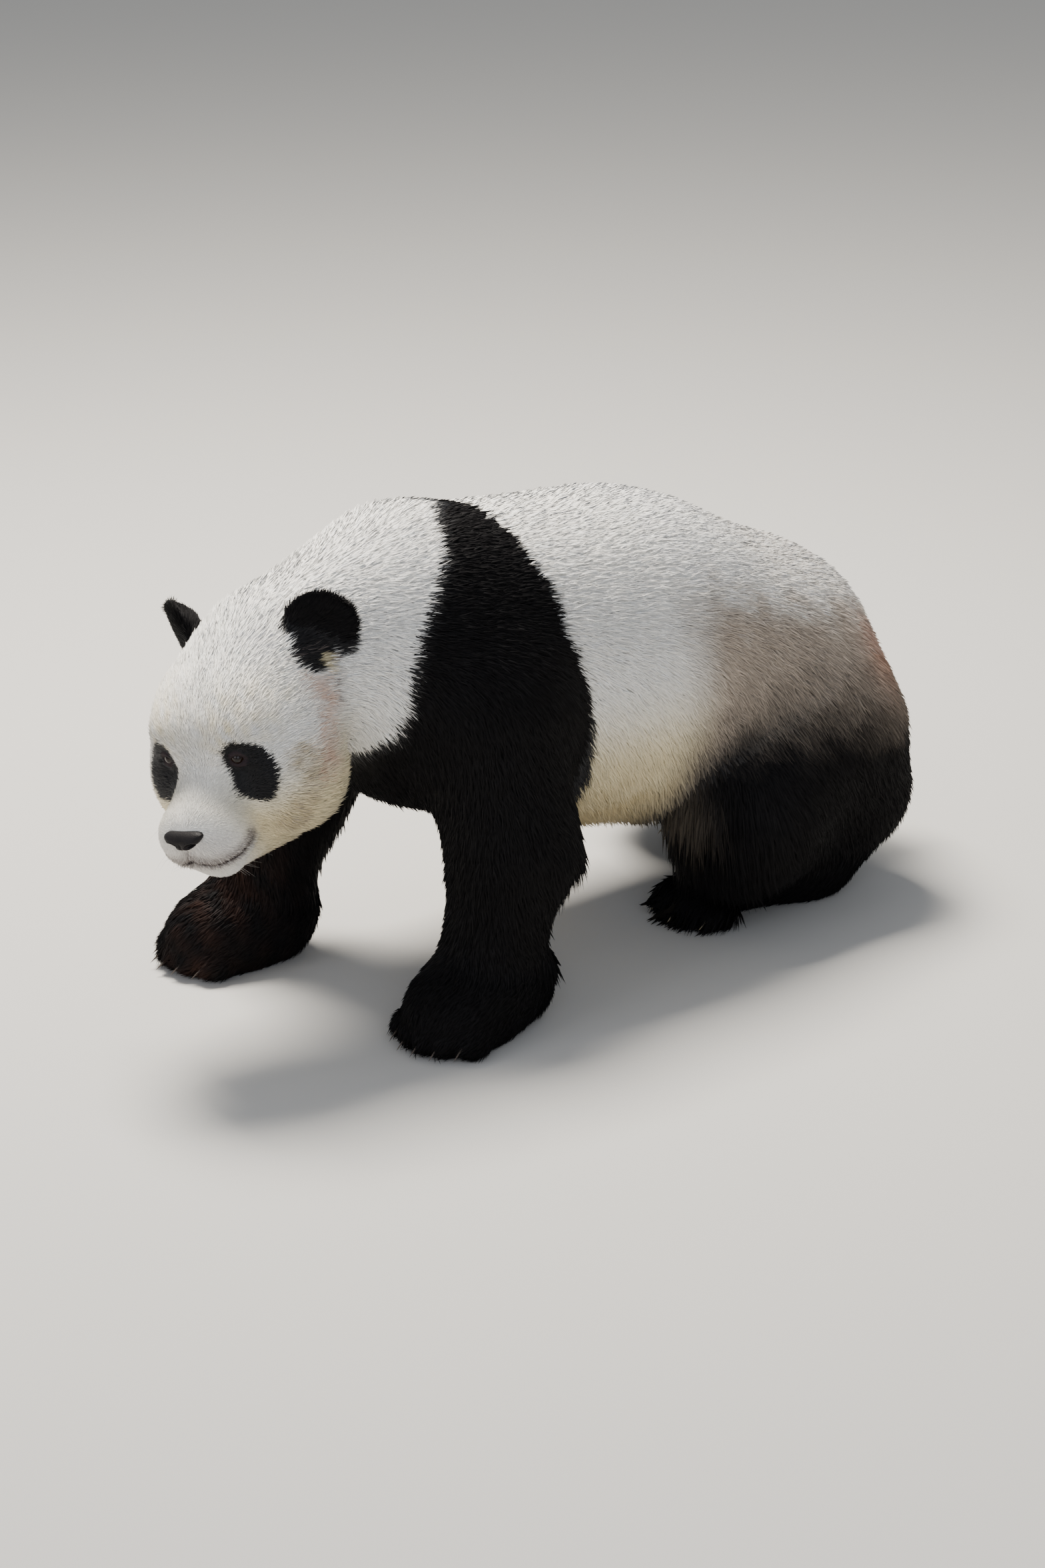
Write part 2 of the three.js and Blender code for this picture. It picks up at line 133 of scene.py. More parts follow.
def srgb(code: str) -> Array:
    """A colour such as '#E9E5DA' as linear red, green and blue."""
    c = np.array([int(code[i:i + 2], 16) for i in (1, 3, 5)]) / 255
    return np.where(c <= 0.04045, c / 12.92, ((c + 0.055) / 1.055) ** 2.4)


def slope(f: Field, p: Array, e: float = 0.5 * MM) -> tuple[Array, Array]:
    """The value of a field and its slope, from forward differences.

    Args:
        f: the field.
        p: points, n x 3.
        e: length of a difference.

    Returns:
        The values, n, and the slopes, n x 3.
    """
    here = f(p)
    return here, np.stack([(f(p + e * axis) - here) / e for axis in np.eye(3)], 1)


def settle(f: Field, p: Array, rounds: int = 5, reach: float = 4 * MM) -> Array:
    """Points moved onto the zero of a field, a capped step down its slope each round.

    Args:
        f: the field.
        p: points, n x 3.
        rounds: how many steps.
        reach: longest step.

    Returns:
        The moved points.
    """
    for _ in range(rounds):
        value, g = slope(f, p)
        size = np.maximum(np.linalg.norm(g, axis=1), 0.2)
        p = p - (np.clip(value / size, -reach, reach) / size)[:, None] * g
    return p


# ------------------------------------------------------------------ shapes of the body
@dataclass(frozen=True)
class Bone:
    """A tapered rod with round ends."""

    start: Array
    end: Array
    radii: tuple[float, float]

    def distance(self, p: Array) -> Array:
        """Distance to the nearest point of the axis, less the radius there."""
        way = self.end - self.start
        t = np.clip((p - self.start) @ way / (way @ way), 0, 1)
        away = np.linalg.norm(p - self.start - t[:, None] * way, axis=1)
        return away - self.radii[0] - (self.radii[1] - self.radii[0]) * t


@dataclass(frozen=True)
class Egg:
    """An ellipsoid, turned by the frame in axes."""

    at: Array
    radii: tuple[float, float, float]
    axes: Array = field(default_factory=lambda: np.eye(3))

    def distance(self, p: Array) -> Array:
        """Near-distance k(k - 1)/m, k the scaled radius and m its slope."""
        q = (p - self.at) @ self.axes / np.array(self.radii)
        k = np.linalg.norm(q, axis=1)
        m = np.linalg.norm(q / np.array(self.radii), axis=1)
        return k * (k - 1) / np.maximum(m, 1e-9)


def track(stops: Array | tuple, p: Array) -> Array:
    """Distance to a line through stops given in millimetres."""
    points = np.array(stops) * MM
    return np.min([Bone(a, b, (0, 0)).distance(p) for a, b in zip(points[:-1], points[1:])], 0)


def blend(k: float, shapes: Iterable["Bone | Egg"], p: Array) -> Array:
    """Shapes run together evenly: -k ln(sum of exp(-d / k)).

    Args:
        k: width of the blend.
        shapes: bones and eggs.
        p: points, n x 3.

    Returns:
        The blended distance, n.
    """
    d = np.stack([s.distance(p) for s in shapes])
    low = d.min(0)
    return low - k * np.log(np.exp((low - d) / k).sum(0))


def join(k: float, a: Array, b: Array) -> Array:
    """The lower of a and b, with a fillet about k wide: min - h^2 k / 4."""
    h = np.maximum(k - np.abs(a - b), 0) / k
    return np.minimum(a, b) - h * h * k / 4


def hollow(k: float, a: Array, b: Array) -> Array:
    """a with b taken out of it, the rim rounded over about k."""
    return -join(k, -a, b)


def vec(x: float, y: float, z: float) -> Array:
    """A point or direction given in millimetres, in metres."""
    return np.array([x, y, z]) * MM


@dataclass(frozen=True)
class HeadShape:
    """The head in its own frame: its centre, turn and masses, in millimetres."""

    centre: tuple[float, float, float] = (31, -533, 461)
    turned: tuple[float, float, float] = (21 * DEG, 17 * DEG, -12 * DEG)
    skull: tuple = ((0, 22, 32), (136, 140, 110))
    nape: tuple = ((0, 86, 26), (120, 96, 92))
    cheek: tuple = ((79, -26, -38), (67, 88, 88))
    brow: tuple = ((45, -56, 55), (46, 45, 32))
    muzzle: tuple = ((0, -60, -30), (0, -151, -50), (77, 50))
    lip: tuple = ((34, -152, -58), (38, 42, 38))
    jaw: tuple = ((0, -45, -86), (0, -140, -95), (74, 37))
    eye_dip: tuple = ((64, -132, 29), 27)
    soft: float = 12
    ear_at: tuple = (113, 95, 119)
    ear_radii: tuple = (51, 19, 53)
    ear_drop: float = 9
    ear_cup: float = 11
    ear_splay: float = 38 * DEG
    eye_at: tuple = (57, -97, 30)
    eye_radius: float = 11
    nose_at: tuple = (0, -197, -38)

    @property
    def axes(self) -> Array:
        """The head's axes as columns."""
        return turning(*self.turned)

    def to_body(self, q: Array) -> Array:
        """Points of the head's frame, in the body's."""
        return vec(*self.centre) + q @ self.axes.T

    def to_head(self, p: Array) -> Array:
        """Points of the body's frame, in the head's."""
        return (p - vec(*self.centre)) @ self.axes

    def masses(self) -> list:
        """Skull, nape, muzzle, jaw, cheeks and brows, in the head's frame."""
        def egg(spec: tuple, s: int = 1) -> Egg:
            """An egg from its place and radii; s = -1 mirrors it."""
            return Egg(vec(spec[0][0] * s, *spec[0][1:]), tuple(r * MM for r in spec[1]))

        def bone(spec: tuple) -> Bone:
            """A bone from its two ends and radii."""
            return Bone(vec(*spec[0]), vec(*spec[1]), tuple(r * MM for r in spec[2]))

        pairs = [egg(spec, s) for spec in (self.cheek, self.brow, self.lip) for _, s in SIDES]
        return [egg(self.skull), egg(self.nape), bone(self.muzzle), bone(self.jaw)] + pairs

    def distance(self, q: Array) -> Array:
        """The head's masses blended, with a dip in front of each eye."""
        d = blend(self.soft * MM, self.masses(), q)
        at, r = self.eye_dip
        for _, s in SIDES:
            dip = Egg(vec(at[0] * s, at[1], at[2]), (r * MM,) * 3)
            d = hollow(self.soft * MM, d, dip.distance(q))
        return d

    def ear_frame(self, s: int) -> tuple[Array, Array]:
        """Centre and axes of an ear in the head's frame; its hollow side faces its -Y.

        The right ear is carried a little lower than the left one.
        """
        at = vec(self.ear_at[0] * s, *self.ear_at[1:])
        return at - (s < 0) * vec(0, 0, self.ear_drop), turning(s * self.ear_splay, 0, 0)

    def ear_distance(self, q: Array, s: int) -> Array:
        """A round flap whose rim bends forward by cup times the square of the radius."""
        at, axes = self.ear_frame(s)
        e = (q - at) @ axes
        r = self.ear_radii[0] * MM
        e[:, 1] += self.ear_cup * MM * (e[:, 0] ** 2 + e[:, 2] ** 2) / r ** 2
        return Egg(np.zeros(3), tuple(v * MM for v in self.ear_radii)).distance(e)


class Leg:
    """What both kinds of leg share: masses run together, and five toes joined on.

    A kind of leg names its root, from which the toes are measured, its masses, its
    toes' turn, their ways ahead, their spacing, their radius and their height.
    """

    soft = 20 * MM
    toe_soft = 12 * MM
    toe_long = 1.3

    def toe_centres(self) -> Array:
        """The toes' centres: side by side across the paw, each its own way ahead."""
        across = (np.arange(5) - 2) * self.spread * MM
        ahead = np.array(self.toes) * MM
        c, s = np.cos(self.toe_out), np.sin(self.toe_out)
        x = self.root[0] * MM + across * c + ahead * s
        y = self.root[1] * MM + across * s - ahead * c
        return np.stack([x, y, np.full(5, self.toe_height * MM)], 1)

    def distance(self, p: Array) -> Array:
        """The leg's masses blended, with its toes joined on."""
        d = blend(self.soft, self.masses(), p)
        r = self.toe_radius * MM
        for c in self.toe_centres():
            toe = Egg(c, (r, self.toe_long * r, r), turning(self.toe_out, 0, 0))
            d = join(self.toe_soft, d, toe.distance(p))
        return d


@dataclass(frozen=True)
class ForelegShape(Leg):
    """A foreleg: joints and turn of the toes, in millimetres; radii in metres."""

    shoulder: tuple
    elbow: tuple
    root: tuple
    toe_out: float
    heel_back: float
    palm_ahead: float = 62
    palm_up: float = 45
    heel_up: float = 62
    upper: tuple = (0.118, 0.088)
    lower: tuple = (0.083, 0.070)
    sole: tuple = (0.070, 0.060)
    palm: tuple = (0.074, 0.088, 0.054)
    toes: tuple = (106, 124, 130, 122, 102)
    spread: float = 29
    toe_radius: float = 26
    toe_height: float = 25

    def masses(self) -> list:
        """Upper arm, forearm, sole and palm."""
        sh, el, wr = (vec(*v) for v in (self.shoulder, self.elbow, self.root))
        ahead = np.array([np.sin(self.toe_out), -np.cos(self.toe_out), 0])
        palm, heel = wr + self.palm_ahead * MM * ahead, wr - self.heel_back * MM * ahead
        palm[2], heel[2] = self.palm_up * MM, self.heel_up * MM
        return [Bone(sh, el, self.upper), Bone(el, wr, self.lower), Bone(heel, palm, self.sole),
                Egg(palm, self.palm, turning(self.toe_out, 0, 0))]


@dataclass(frozen=True)
class HindlegShape(Leg):
    """A hind leg: joints in millimetres, and the radii of its masses in metres."""

    hip: tuple
    knee: tuple
    ham: tuple
    calf: tuple
    heel: tuple
    root: tuple
    radii: tuple = ((0.168, 0.120), (0.110, 0.078), (0.116, 0.108), (0.094, 0.076), (0.074, 0.056))
    toe_out: float = 0.0
    toes: tuple = (34, 46, 50, 46, 34)
    spread: float = 27
    toe_radius: float = 25
    toe_height: float = 24

    def masses(self) -> list:
        """Thigh, shank, ham, calf and foot."""
        runs = ((self.hip, self.knee), (self.knee, self.heel), (self.ham, self.calf),
                (self.calf, self.heel), (self.heel, self.root))
        return [Bone(vec(*a), vec(*b), r) for (a, b), r in zip(runs, self.radii)]


@dataclass
class Parts:
    """Distances of a set of points to each part of the body, and their place in the head."""

    p: Array
    q: Array
    head: Array
    ear: Array
    neck: Array
    trunk: Array
    fore: Array
    hind: Array
    tail: Array

    def weights(self, soft: float = 12 * MM) -> dict[str, Array]:
        """How much each part owns a point: exp(-d / soft), shared out to a sum of one."""
        names = ("head", "ear", "neck", "trunk", "fore", "hind", "tail")
        d = np.stack([getattr(self, n) for n in names])
        w = np.exp(-(d - d.min(0)) / soft)
        return dict(zip(names, w / w.sum(0)))


@dataclass(frozen=True)
class BodyShape:
    """The whole animal as one field, out to the tips of the coat."""

    head: HeadShape = HeadShape()
    foreleg: dict = field(default_factory=lambda: {
        1: ForelegShape((145, -200, 450), (205, -200, 270), (212, -250, 95), 11 * DEG, 38),
        -1: ForelegShape((-145, -225, 430), (-203, -288, 270), (-212, -344, 95), -8 * DEG, 12),
    })
    hindleg: dict = field(default_factory=lambda: {
        1: HindlegShape((108, 438, 272), (170, 288, 194), (130, 486, 252), (150, 496, 176),
                        (124, 448, 78), (112, 284, 50)),
        -1: HindlegShape((-108, 470, 272), (-180, 455, 210), (-124, 545, 250), (-128, 600, 180),
                         (-120, 662, 78), (-114, 498, 50)),
    })
    neck: tuple = (((0, -270, 522), (14, 100, 38), (0.184, 0.118)),
                   ((0, -235, 592), (14, 82, 52), (0.132, 0.110)))
    trunk: tuple = (((0, -185, 475), (0.215, 0.215, 0.195)), ((0, -110, 545), (0.130, 0.150, 0.125)),
                    ((0, 100, 431), (0.236, 0.315, 0.250)), ((0, 378, 370), (0.224, 0.252, 0.184)))
    tail: tuple = ((0, 600, 395), (0, 668, 290), (0.046, 0.034))
    neck_soft: float = 20 * MM
    trunk_soft: float = 45 * MM
    pair_soft: float = 14 * MM
    lo: tuple = (-0.34, -0.80, -0.03)
    hi: tuple = (0.34, 0.76, 0.76)

    def parts(self, p: Array) -> Parts:
        """The distance of every point to every part.

        Args:
            p: points, n x 3.

        Returns:
            The distances.
        """
        h = self.head
        q = h.to_head(p)
        neck = blend(self.neck_soft,
                     [Bone(vec(*a), h.to_body(vec(*b)), r) for a, b, r in self.neck], p)
        trunk = blend(self.trunk_soft, [Egg(vec(*at), r) for at, r in self.trunk], p)
        start, end, radii = self.tail
        tail = Bone(vec(*start), vec(*end), radii).distance(p)
        ears = np.minimum(h.ear_distance(q, 1), h.ear_distance(q, -1))
        fore, hind = (join(self.pair_soft, *(leg.distance(p) for leg in legs.values()))
                      for legs in (self.foreleg, self.hindleg))
        return Parts(p, q, h.distance(q), ears, neck, trunk, fore, hind, tail)

    def outline(self, at: Parts) -> Array:
        """The outline of the coat: all parts joined with their own fillets."""
        d = join(30 * MM, join(60 * MM, at.trunk, at.neck), at.head)
        d = join(50 * MM, join(50 * MM, d, at.fore), at.hind)
        return join(12 * MM, join(20 * MM, d, at.tail), at.ear)


# ------------------------------------------------------------------ the face
@dataclass
class Face:
    """Eyelids, mouth and the groove under the nose, in the head's frame."""

    shape: HeadShape
    gaze: tuple = (0.46, -0.88, 0.06)
    lid_thick: float = 1.7 * MM
    half_wide: float = 9.5 * MM
    half_high: float = 6.2 * MM
    slant: float = 12 * DEG
    lid_folds: tuple = ((-0.7, 1.2, 1.0), (0.9, 4.6, 1.2), (-0.6, 7.5, 1.8))
    mouth: Array = field(default_factory=lambda: np.array([
        [0, -204, -70], [9, -202, -76], [24, -197, -81], [39, -192, -82],
        [53, -185, -80], [67, -170, -74], [75, -151, -65]]) * MM)

    def eye_centre(self, s: int) -> Array:
        """The centre of an eyeball in the head's frame."""
        return vec(self.shape.eye_at[0] * s, *self.shape.eye_at[1:])

    def eye_frame(self, s: int) -> Array:
        """Rows: along the lids, up across them, and the gaze, in the head's frame."""
        g = unit(np.array([self.gaze[0] * s, *self.gaze[1:]]))
        along = unit(np.cross(g, [0, 0, 1]))
        up = np.cross(along, g)
        c, k = np.cos(self.slant * s), np.sin(self.slant * s)
        return np.stack([along * c + up * k, up * c - along * k, g])

    def lids(self, q: Array, s: int) -> tuple[Array, Array]:
        """Where points stand to an eye's opening.

        Args:
            q: points in the head's frame.
            s: 1 for the left eye, -1 for the right.

        Returns:
            The distance from the eyeball's centre, and the distance outside the
            almond-shaped opening, negative within it.
        """
        e = (q - self.eye_centre(s)) @ self.eye_frame(s).T
        far = np.linalg.norm(e, axis=1)
        shrink = self.shape.eye_radius * MM / np.maximum(far, 1e-6)
        x, y = e[:, 0] * shrink / self.half_wide, e[:, 1] * shrink / self.half_high
        k = np.sqrt(x ** 2 + (y * (1 + 0.35 * x ** 2)) ** 2)
        gap = (k - 1) * self.half_high
        return far, np.where(e[:, 2] > 0, gap, 0.05)

    def mouth_distance(self, q: Array) -> Array:
        """Distance to the line of the mouth, both sides at once."""
        m = np.stack([np.abs(q[:, 0]), q[:, 1], q[:, 2]], 1)
        return track(self.mouth / MM, m)

    def carve(self, f: Array, q: Array) -> Array:
        """The skin's field with lids round the eyes, the mouth and the nose's groove cut in.

        Adding to the field sinks the surface by that much, and taking away raises it.

        Args:
            f: field values of the plain skin.
            q: the same points in the head's frame.

        Returns:
            The carved field.
        """
        for _, s in SIDES:
            far, gap = self.lids(q, s)
            lid = self.shape.eye_radius * MM + self.lid_thick
            near = ramp(34 * MM, 20 * MM, far)
            f = np.where(near > 0, join(9 * MM, f, far - lid) * near + f * (1 - near), f)
            sunk = 4.2 * MM * ramp(0.6 * MM, -0.9 * MM, gap)
            for deep, away, wide in self.lid_folds:
                sunk = sunk + deep * MM * bump(gap - away * MM, wide * MM)
            f = f + near * sunk
        d = self.mouth_distance(q)
        f = f + 6.0 * MM * bump(d, 2.9 * MM) - 1.6 * MM * bump(d - 6.5 * MM, 3.5 * MM)
        groove = bump(q[:, 0], 1.5 * MM) * ramp(-150 * MM, -175 * MM, q[:, 1])
        groove = groove * ramp(-82 * MM, -74 * MM, q[:, 2]) * ramp(-34 * MM, -42 * MM, q[:, 2])
        return f + 1.8 * MM * groove


# ------------------------------------------------------------------ lie and colour of the coat
class Hue(Enum):
    """Colours of hair and bare skin, and of a sheen and a shade painted on them, as sRGB."""

    WHITE = "#F4F1EA"
    CREAM = "#E6D7AE"
    STRAW = "#CBB37C"
    FAWN = "#BCAA86"
    TAN = "#A39688"
    RUSSET = "#A9745C"
    GREY = "#8C8078"
    SMOKE = "#5D534E"
    BLACK = "#0C0A0B"
    # Painted sheen on the black hair, low on the forelegs.
    BROWN_SHEEN = "#2E1C15"
    # Pink of thin hair over skin, with shade painted in the fold behind the cheek.
    PINK_AND_SHADE = "#D2AA92"
    LIP = "#2B2325"
    PAD = "#26211F"

    @property
    def linear(self) -> Array:
        """The colour as linear red, green and blue."""
        return srgb(self.value)


def mixed(base: Array, hue: Hue, share: Array) -> Array:
    """Colours base, moved towards hue by share."""
    return base + (hue.linear - base) * np.clip(share, 0, 1)[:, None]


@dataclass
class Coat:
    """Depth, length, width, lie and colour of the coat at any place of the body."""

    body: BodyShape
    face: Face
    # Places in the head's frame, millimetres: the cheek's stain, the streak of thin hair
    # and painted shade, and the black root and the pale tuft of an ear with their radii in metres.
    stain: tuple = ((134, -60, 0), (143, -48, -22), (133, -78, -50), (98, -98, -84))
    streak: tuple = ((128, 44, 86), (140, 28, 42), (144, 0, -9), (145, -20, -34))
    ear_root: tuple = ((108, 84, 110), (118, 54, 98), (0.036, 0.029))
    tuft: tuple = ((134, 62, 84), (141, 58, 62), (0.010, 0.006))
    # An eye's black patch: its middle (x, z), its lean and its half width and height.
    patch_at: tuple = (0.0755, 0.013)
    patch_lean: float = 27 * DEG
    patch_half: tuple = (0.0300, 0.049)
    # The shoulder band's edges: stations in millimetres at angles from the ridge, radians.
    band_front: tuple = (
        (0.0, 0.07, 0.27, 0.43, 0.55, 0.67, 0.79, 0.97, 1.18, 1.46, 1.7, 2.1),
        (-175, -193, -227, -251, -275, -302, -325, -342, -353, -357, -392, -470))
    band_rear: tuple = (
        (0.0, 0.37, 0.80, 1.05, 1.26, 1.44, 1.67, 1.94, 2.18),
        (-112, -107, -93, -97, -85, -73, -61, -50, -40))
    # How white the haunch is at heights in metres.
    haunch_tone: tuple = ((0.27, 0.29, 0.31, 0.34, 0.38, 0.42, 0.47),
                          (0.0, 0.03, 0.10, 0.28, 0.56, 0.82, 1.0))
    # The middle of each foreleg, front to rear, at three heights, millimetres.
    leg_heights: tuple = (95, 270, 450)
    leg_middles: tuple = ((-250, -200, -200), (-344, -288, -225))

    def eye_away(self, q: Array) -> Array:
        """Distance from the nearer eyeball's centre."""
        return np.min([np.linalg.norm(q - self.face.eye_centre(s), axis=1) for _, s in SIDES], 0)

    def sizes(self, at: Parts) -> tuple[Array, Array, Array]:
        """How deep the coat is, and how long and wide its locks are.

        Args:
            at: the places.

        Returns:
            Depth, length and width, metres.
        """
        w, q, z = at.weights(), at.q, at.p[:, 2]
        back = ramp(-0.175, -0.03, q[:, 1])
        cheek = ramp(0.02, -0.05, q[:, 2]) * ramp(-0.11, -0.02, q[:, 1])
        clear = ramp(0.014, 0.040, self.eye_away(q))
        low = ramp(0.40, 0.26, z)
        fringe = self.fringe(at.p)
        behind = self.behind(at.p)
        fore_paw, hind_paw = ramp(0.125, 0.07, z), ramp(0.105, 0.06, z)
        one = np.ones_like(z)
        table = {
            "head": (2.4 + 4.2 * back + 2.4 * cheek, 8 + 8 * back + 8 * cheek,
                     0.95 + 0.45 * back + 0.2 * cheek),
            "ear": (4.0, 14, 1.3),
            "neck": (10, 26, 1.8),
            "trunk": (11 + 4 * low, 29 + 5 * low + 50 * fringe, 1.9 + 0.5 * fringe),
            "fore": (11 - 5.5 * fore_paw, 33 - 14 * fore_paw + 20 * behind * (1 - fore_paw),
                     2.1 - 0.4 * fore_paw),
            "hind": (11 - 5.5 * hind_paw, 33 - 15 * hind_paw + 34 * fringe, 2.1 - 0.4 * hind_paw),
            "tail": (9, 36, 2.1),
        }
        by_part = {k: np.stack([v * one for v in sizes]) for k, sizes in table.items()}
        by_part["head"] = by_part["head"] * (0.6 + 0.4 * clear)
        depth, length, width = sum(w[k] * by_part[k] for k in by_part) * MM
        return depth, length, width

    def fringe(self, p: Array) -> Array:
        """Where the belly's long hair hangs over the front of the thighs, 0 to 1."""
        return ramp(0.36, 0.27, p[:, 2]) * bump(p[:, 1] - 0.175, 0.095)

    def behind(self, p: Array) -> Array:
        """How far a place is round on the rear of a foreleg, 0 to 1."""
        axis = [np.interp(p[:, 2], np.array(self.leg_heights) * MM, np.array(ys) * MM)
                for ys in self.leg_middles]
        return ramp(0.015, 0.065, p[:, 1] - np.where(p[:, 0] > 0, *axis))

    def lie(self, at: Parts) -> Array:
        """The way the hair runs, not yet laid along the skin.

        Back from the nose over the head, out along the ears, back and down the body,
        down the legs, and forwards over the paws.

        Args:
            at: the places.

        Returns:
            Directions, n x 3.
        """
        w, p, h = at.weights(20 * MM), at.p, self.body.head
        s = np.where(p[:, 0] > 0, 1, -1)
        from_nose = unit(at.q - vec(0, -215, -20)) + np.array([0, 0.25, -0.12])
        ear_root = np.stack([0.088 * np.where(at.q[:, 0] > 0, 1, -1),
                             np.full(len(p), 0.060), np.full(len(p), 0.075)], 1)
        low = ramp(0.60, 0.30, p[:, 2])
        body = np.stack([0 * low, np.ones_like(low), -0.15 - 1.5 * low], 1)
        out = {k: np.where(s > 0, legs[1].toe_out, legs[-1].toe_out)
               for k, legs in (("fore", self.body.foreleg), ("hind", self.body.hindleg))}
        way = (w["head"][:, None] * unit(from_nose) @ h.axes.T
               + w["ear"][:, None] * unit(at.q - ear_root) @ h.axes.T
               + w["neck"][:, None] * unit(body + np.array([0, 0, -0.2]))
               + w["trunk"][:, None] * unit(body)
               + w["tail"][:, None] * np.array([0, 0.3, -0.95]))
        for name, top, back in (("fore", 0.12, 0.22), ("hind", 0.10, 0.35)):
            paw = ramp(top + 0.02, top - 0.04, p[:, 2])[:, None]
            toes = np.stack([np.sin(out[name]), -np.cos(out[name]), -0.35 + 0 * low], 1)
            leg = np.array([0, back, -1])
            way = way + w[name][:, None] * unit(leg * (1 - paw) + toes * paw)
        return way

    def patch(self, q: Array, s: int) -> Array:
        """Scaled radius in an eye's black patch: below 1 inside.

        The patch is an oval that leans outwards as it goes down.
        """
        x, z = q[:, 0] - self.patch_at[0] * s, q[:, 2] - self.patch_at[1]
        a = self.patch_lean * s
        u, v = x * np.cos(a) + z * np.sin(a), z * np.cos(a) - x * np.sin(a)
        r = np.sqrt((u / (self.patch_half[0] - 0.05 * v)) ** 2 + (v / self.patch_half[1]) ** 2)
        return np.where(q[:, 1] < 0.0, r, 9.0)

    def colour(self, at: Parts, rng: np.random.Generator, stray: float) -> Array:
        """The colour of the coat at each place, before light and dark locks.

        Args:
            at: the places.
            rng: source of the strays.
            stray: how far a lock may take its colour across a border, metres.

        Returns:
            Linear colours, n x 3.
        """
        p, q, n = at.p, at.q, len(at.p)
        x, y, z = p.T
        w = at.weights()
        edge = rng.normal(size=n) * stray + ripple(p, 0.035, 3) * 2 * MM
        speck = rng.uniform(size=n) if stray else np.full(n, 0.5)
        c = np.tile(Hue.WHITE.linear, (n, 1))

        # Cream deepens to straw along the belly and under the jaw and throat.
        body = w["trunk"] + 0.6 * w["neck"] + w["hind"]
        c = mixed(c, Hue.CREAM, 0.95 * body * ramp(0.47, 0.32, z + 0.4 * edge))
        c = mixed(c, Hue.STRAW, 0.75 * body * ramp(0.33, 0.20, z + ripple(p, 0.05, 4) * 0.02))
        under = ramp(0.035, -0.075, q[:, 2]) * ramp(-0.175, -0.10, q[:, 1] + 0.5 * (q[:, 2] + 0.09))
        c = mixed(c, Hue.CREAM, under * w["head"])
        m = np.stack([np.abs(q[:, 0]), q[:, 1], q[:, 2]], 1)
        rear = track(self.stain, m)
        stain = w["head"] * ramp(34 * MM, 6 * MM, rear + 2 * edge)
        c = mixed(c, Hue.FAWN, stain * (0.60 + 0.35 * ripple(p, 0.025, 5)))
        c = mixed(c, Hue.TAN, stain * 0.8 * (speck > 0.80))
        c = mixed(c, Hue.CREAM, 0.60 * w["head"] * bump(np.abs(q[:, 0]) - 0.06, 0.06)
                  * bump(q[:, 2] - 0.075, 0.040) * (0.7 + 0.5 * ripple(p, 0.02, 10)))

        # Grey shading beside the mouth and at the end of the muzzle.
        lip = self.face.mouth_distance(q)
        c = mixed(c, Hue.GREY, w["head"] * 0.45 * bump(lip - 7 * MM, 8 * MM) * (q[:, 2] > -0.095))
        c = mixed(c, Hue.GREY, w["head"] * 0.30 * ramp(-0.160, -0.195, q[:, 1])
                  * ramp(-0.02, -0.05, q[:, 2]))
        c = mixed(c, Hue.SMOKE, w["head"] * bump(lip, 10 * MM) * (speck > 0.25))

        # Rump: white turns to tan and brown-grey over the haunch, and to black below.
        own = self.haunch(at, 0.6 * edge)
        cloud = 0.014 * ripple(p, 0.06, 6) + 0.020 * (speck - 0.5)
        level = z + 0.25 * (y - 0.25) + cloud
        over = np.maximum(ramp(0.585, 0.480, level) * ramp(0.05, 0.15, np.abs(x)),
                          0.35 * ramp(0.25, 0.40, y))
        c = mixed(c, Hue.TAN, own * over)
        sunk = z + 0.22 * ramp(0.36, 0.56, y) * (y - 0.30) + 0.04 * ramp(0.26, 0.16, y) + cloud
        c = mixed(c, Hue.BLACK, own * (1 - np.interp(sunk, *self.haunch_tone)))
        spot = bump(y - 0.545, 0.050) * bump(z - 0.400, 0.055) * ramp(0.10, 0.17, np.abs(x))
        c = mixed(c, Hue.RUSSET, spot * own * 0.6)

        # Shoulder band: its front and rear edges lie further along the body with the
        # angle from the ridge of the back.
        turned = np.arctan2(np.abs(x), z - 0.44)
        front, rear = (np.interp(turned, angles, np.array(stations) * MM)
                       for angles, stations in (self.band_front, self.band_rear))
        band = ramp(-3 * MM, 3 * MM, np.minimum(y - front, rear - y) + edge)
        band = band * (1 - w["head"]) * (1 - w["ear"])
        leg = ramp(22 * MM, 12 * MM, at.fore + 0.7 * edge) * (z < 0.44) * (y < 0.02)
        foot = ramp(20 * MM, 8 * MM, at.hind + 0.7 * edge) * ramp(0.28, 0.24, z)
        foot = foot * np.maximum(ramp(0.180, 0.215, y + edge), ramp(0.175, 0.155, z + edge))
        c = mixed(c, Hue.BLACK, np.maximum.reduce([band, leg, foot]))

        # Painted sheen: a brown sheen painted low on the front of the forelegs.
        painted_sheen = w["fore"] * ramp(0.30, 0.20, z) * bump(np.abs(x) - 0.20, 0.05)
        painted_sheen = painted_sheen * ramp(-0.28, -0.36, y + 0.12 * (x > 0)) * (0.5 + 0.5 * ripple(p, 0.04, 7))
        c = mixed(c, Hue.BROWN_SHEEN, 0.9 * painted_sheen)

        # Ears, down to their roots in the fur of the head, and eye patches.
        c = mixed(c, Hue.BLACK, ramp(7 * MM, 2 * MM, at.ear + 0.6 * edge))
        root, tuft = (Bone(vec(*a), vec(*b), r).distance(m)
                      for a, b, r in (self.ear_root, self.tuft))
        c = mixed(c, Hue.BLACK, ramp(2 * MM, -3 * MM, root + 0.8 * edge))
        for _, s in SIDES:
            c = mixed(c, Hue.BLACK, ramp(1.05, 0.95, self.patch(q, s) + 14 * edge))
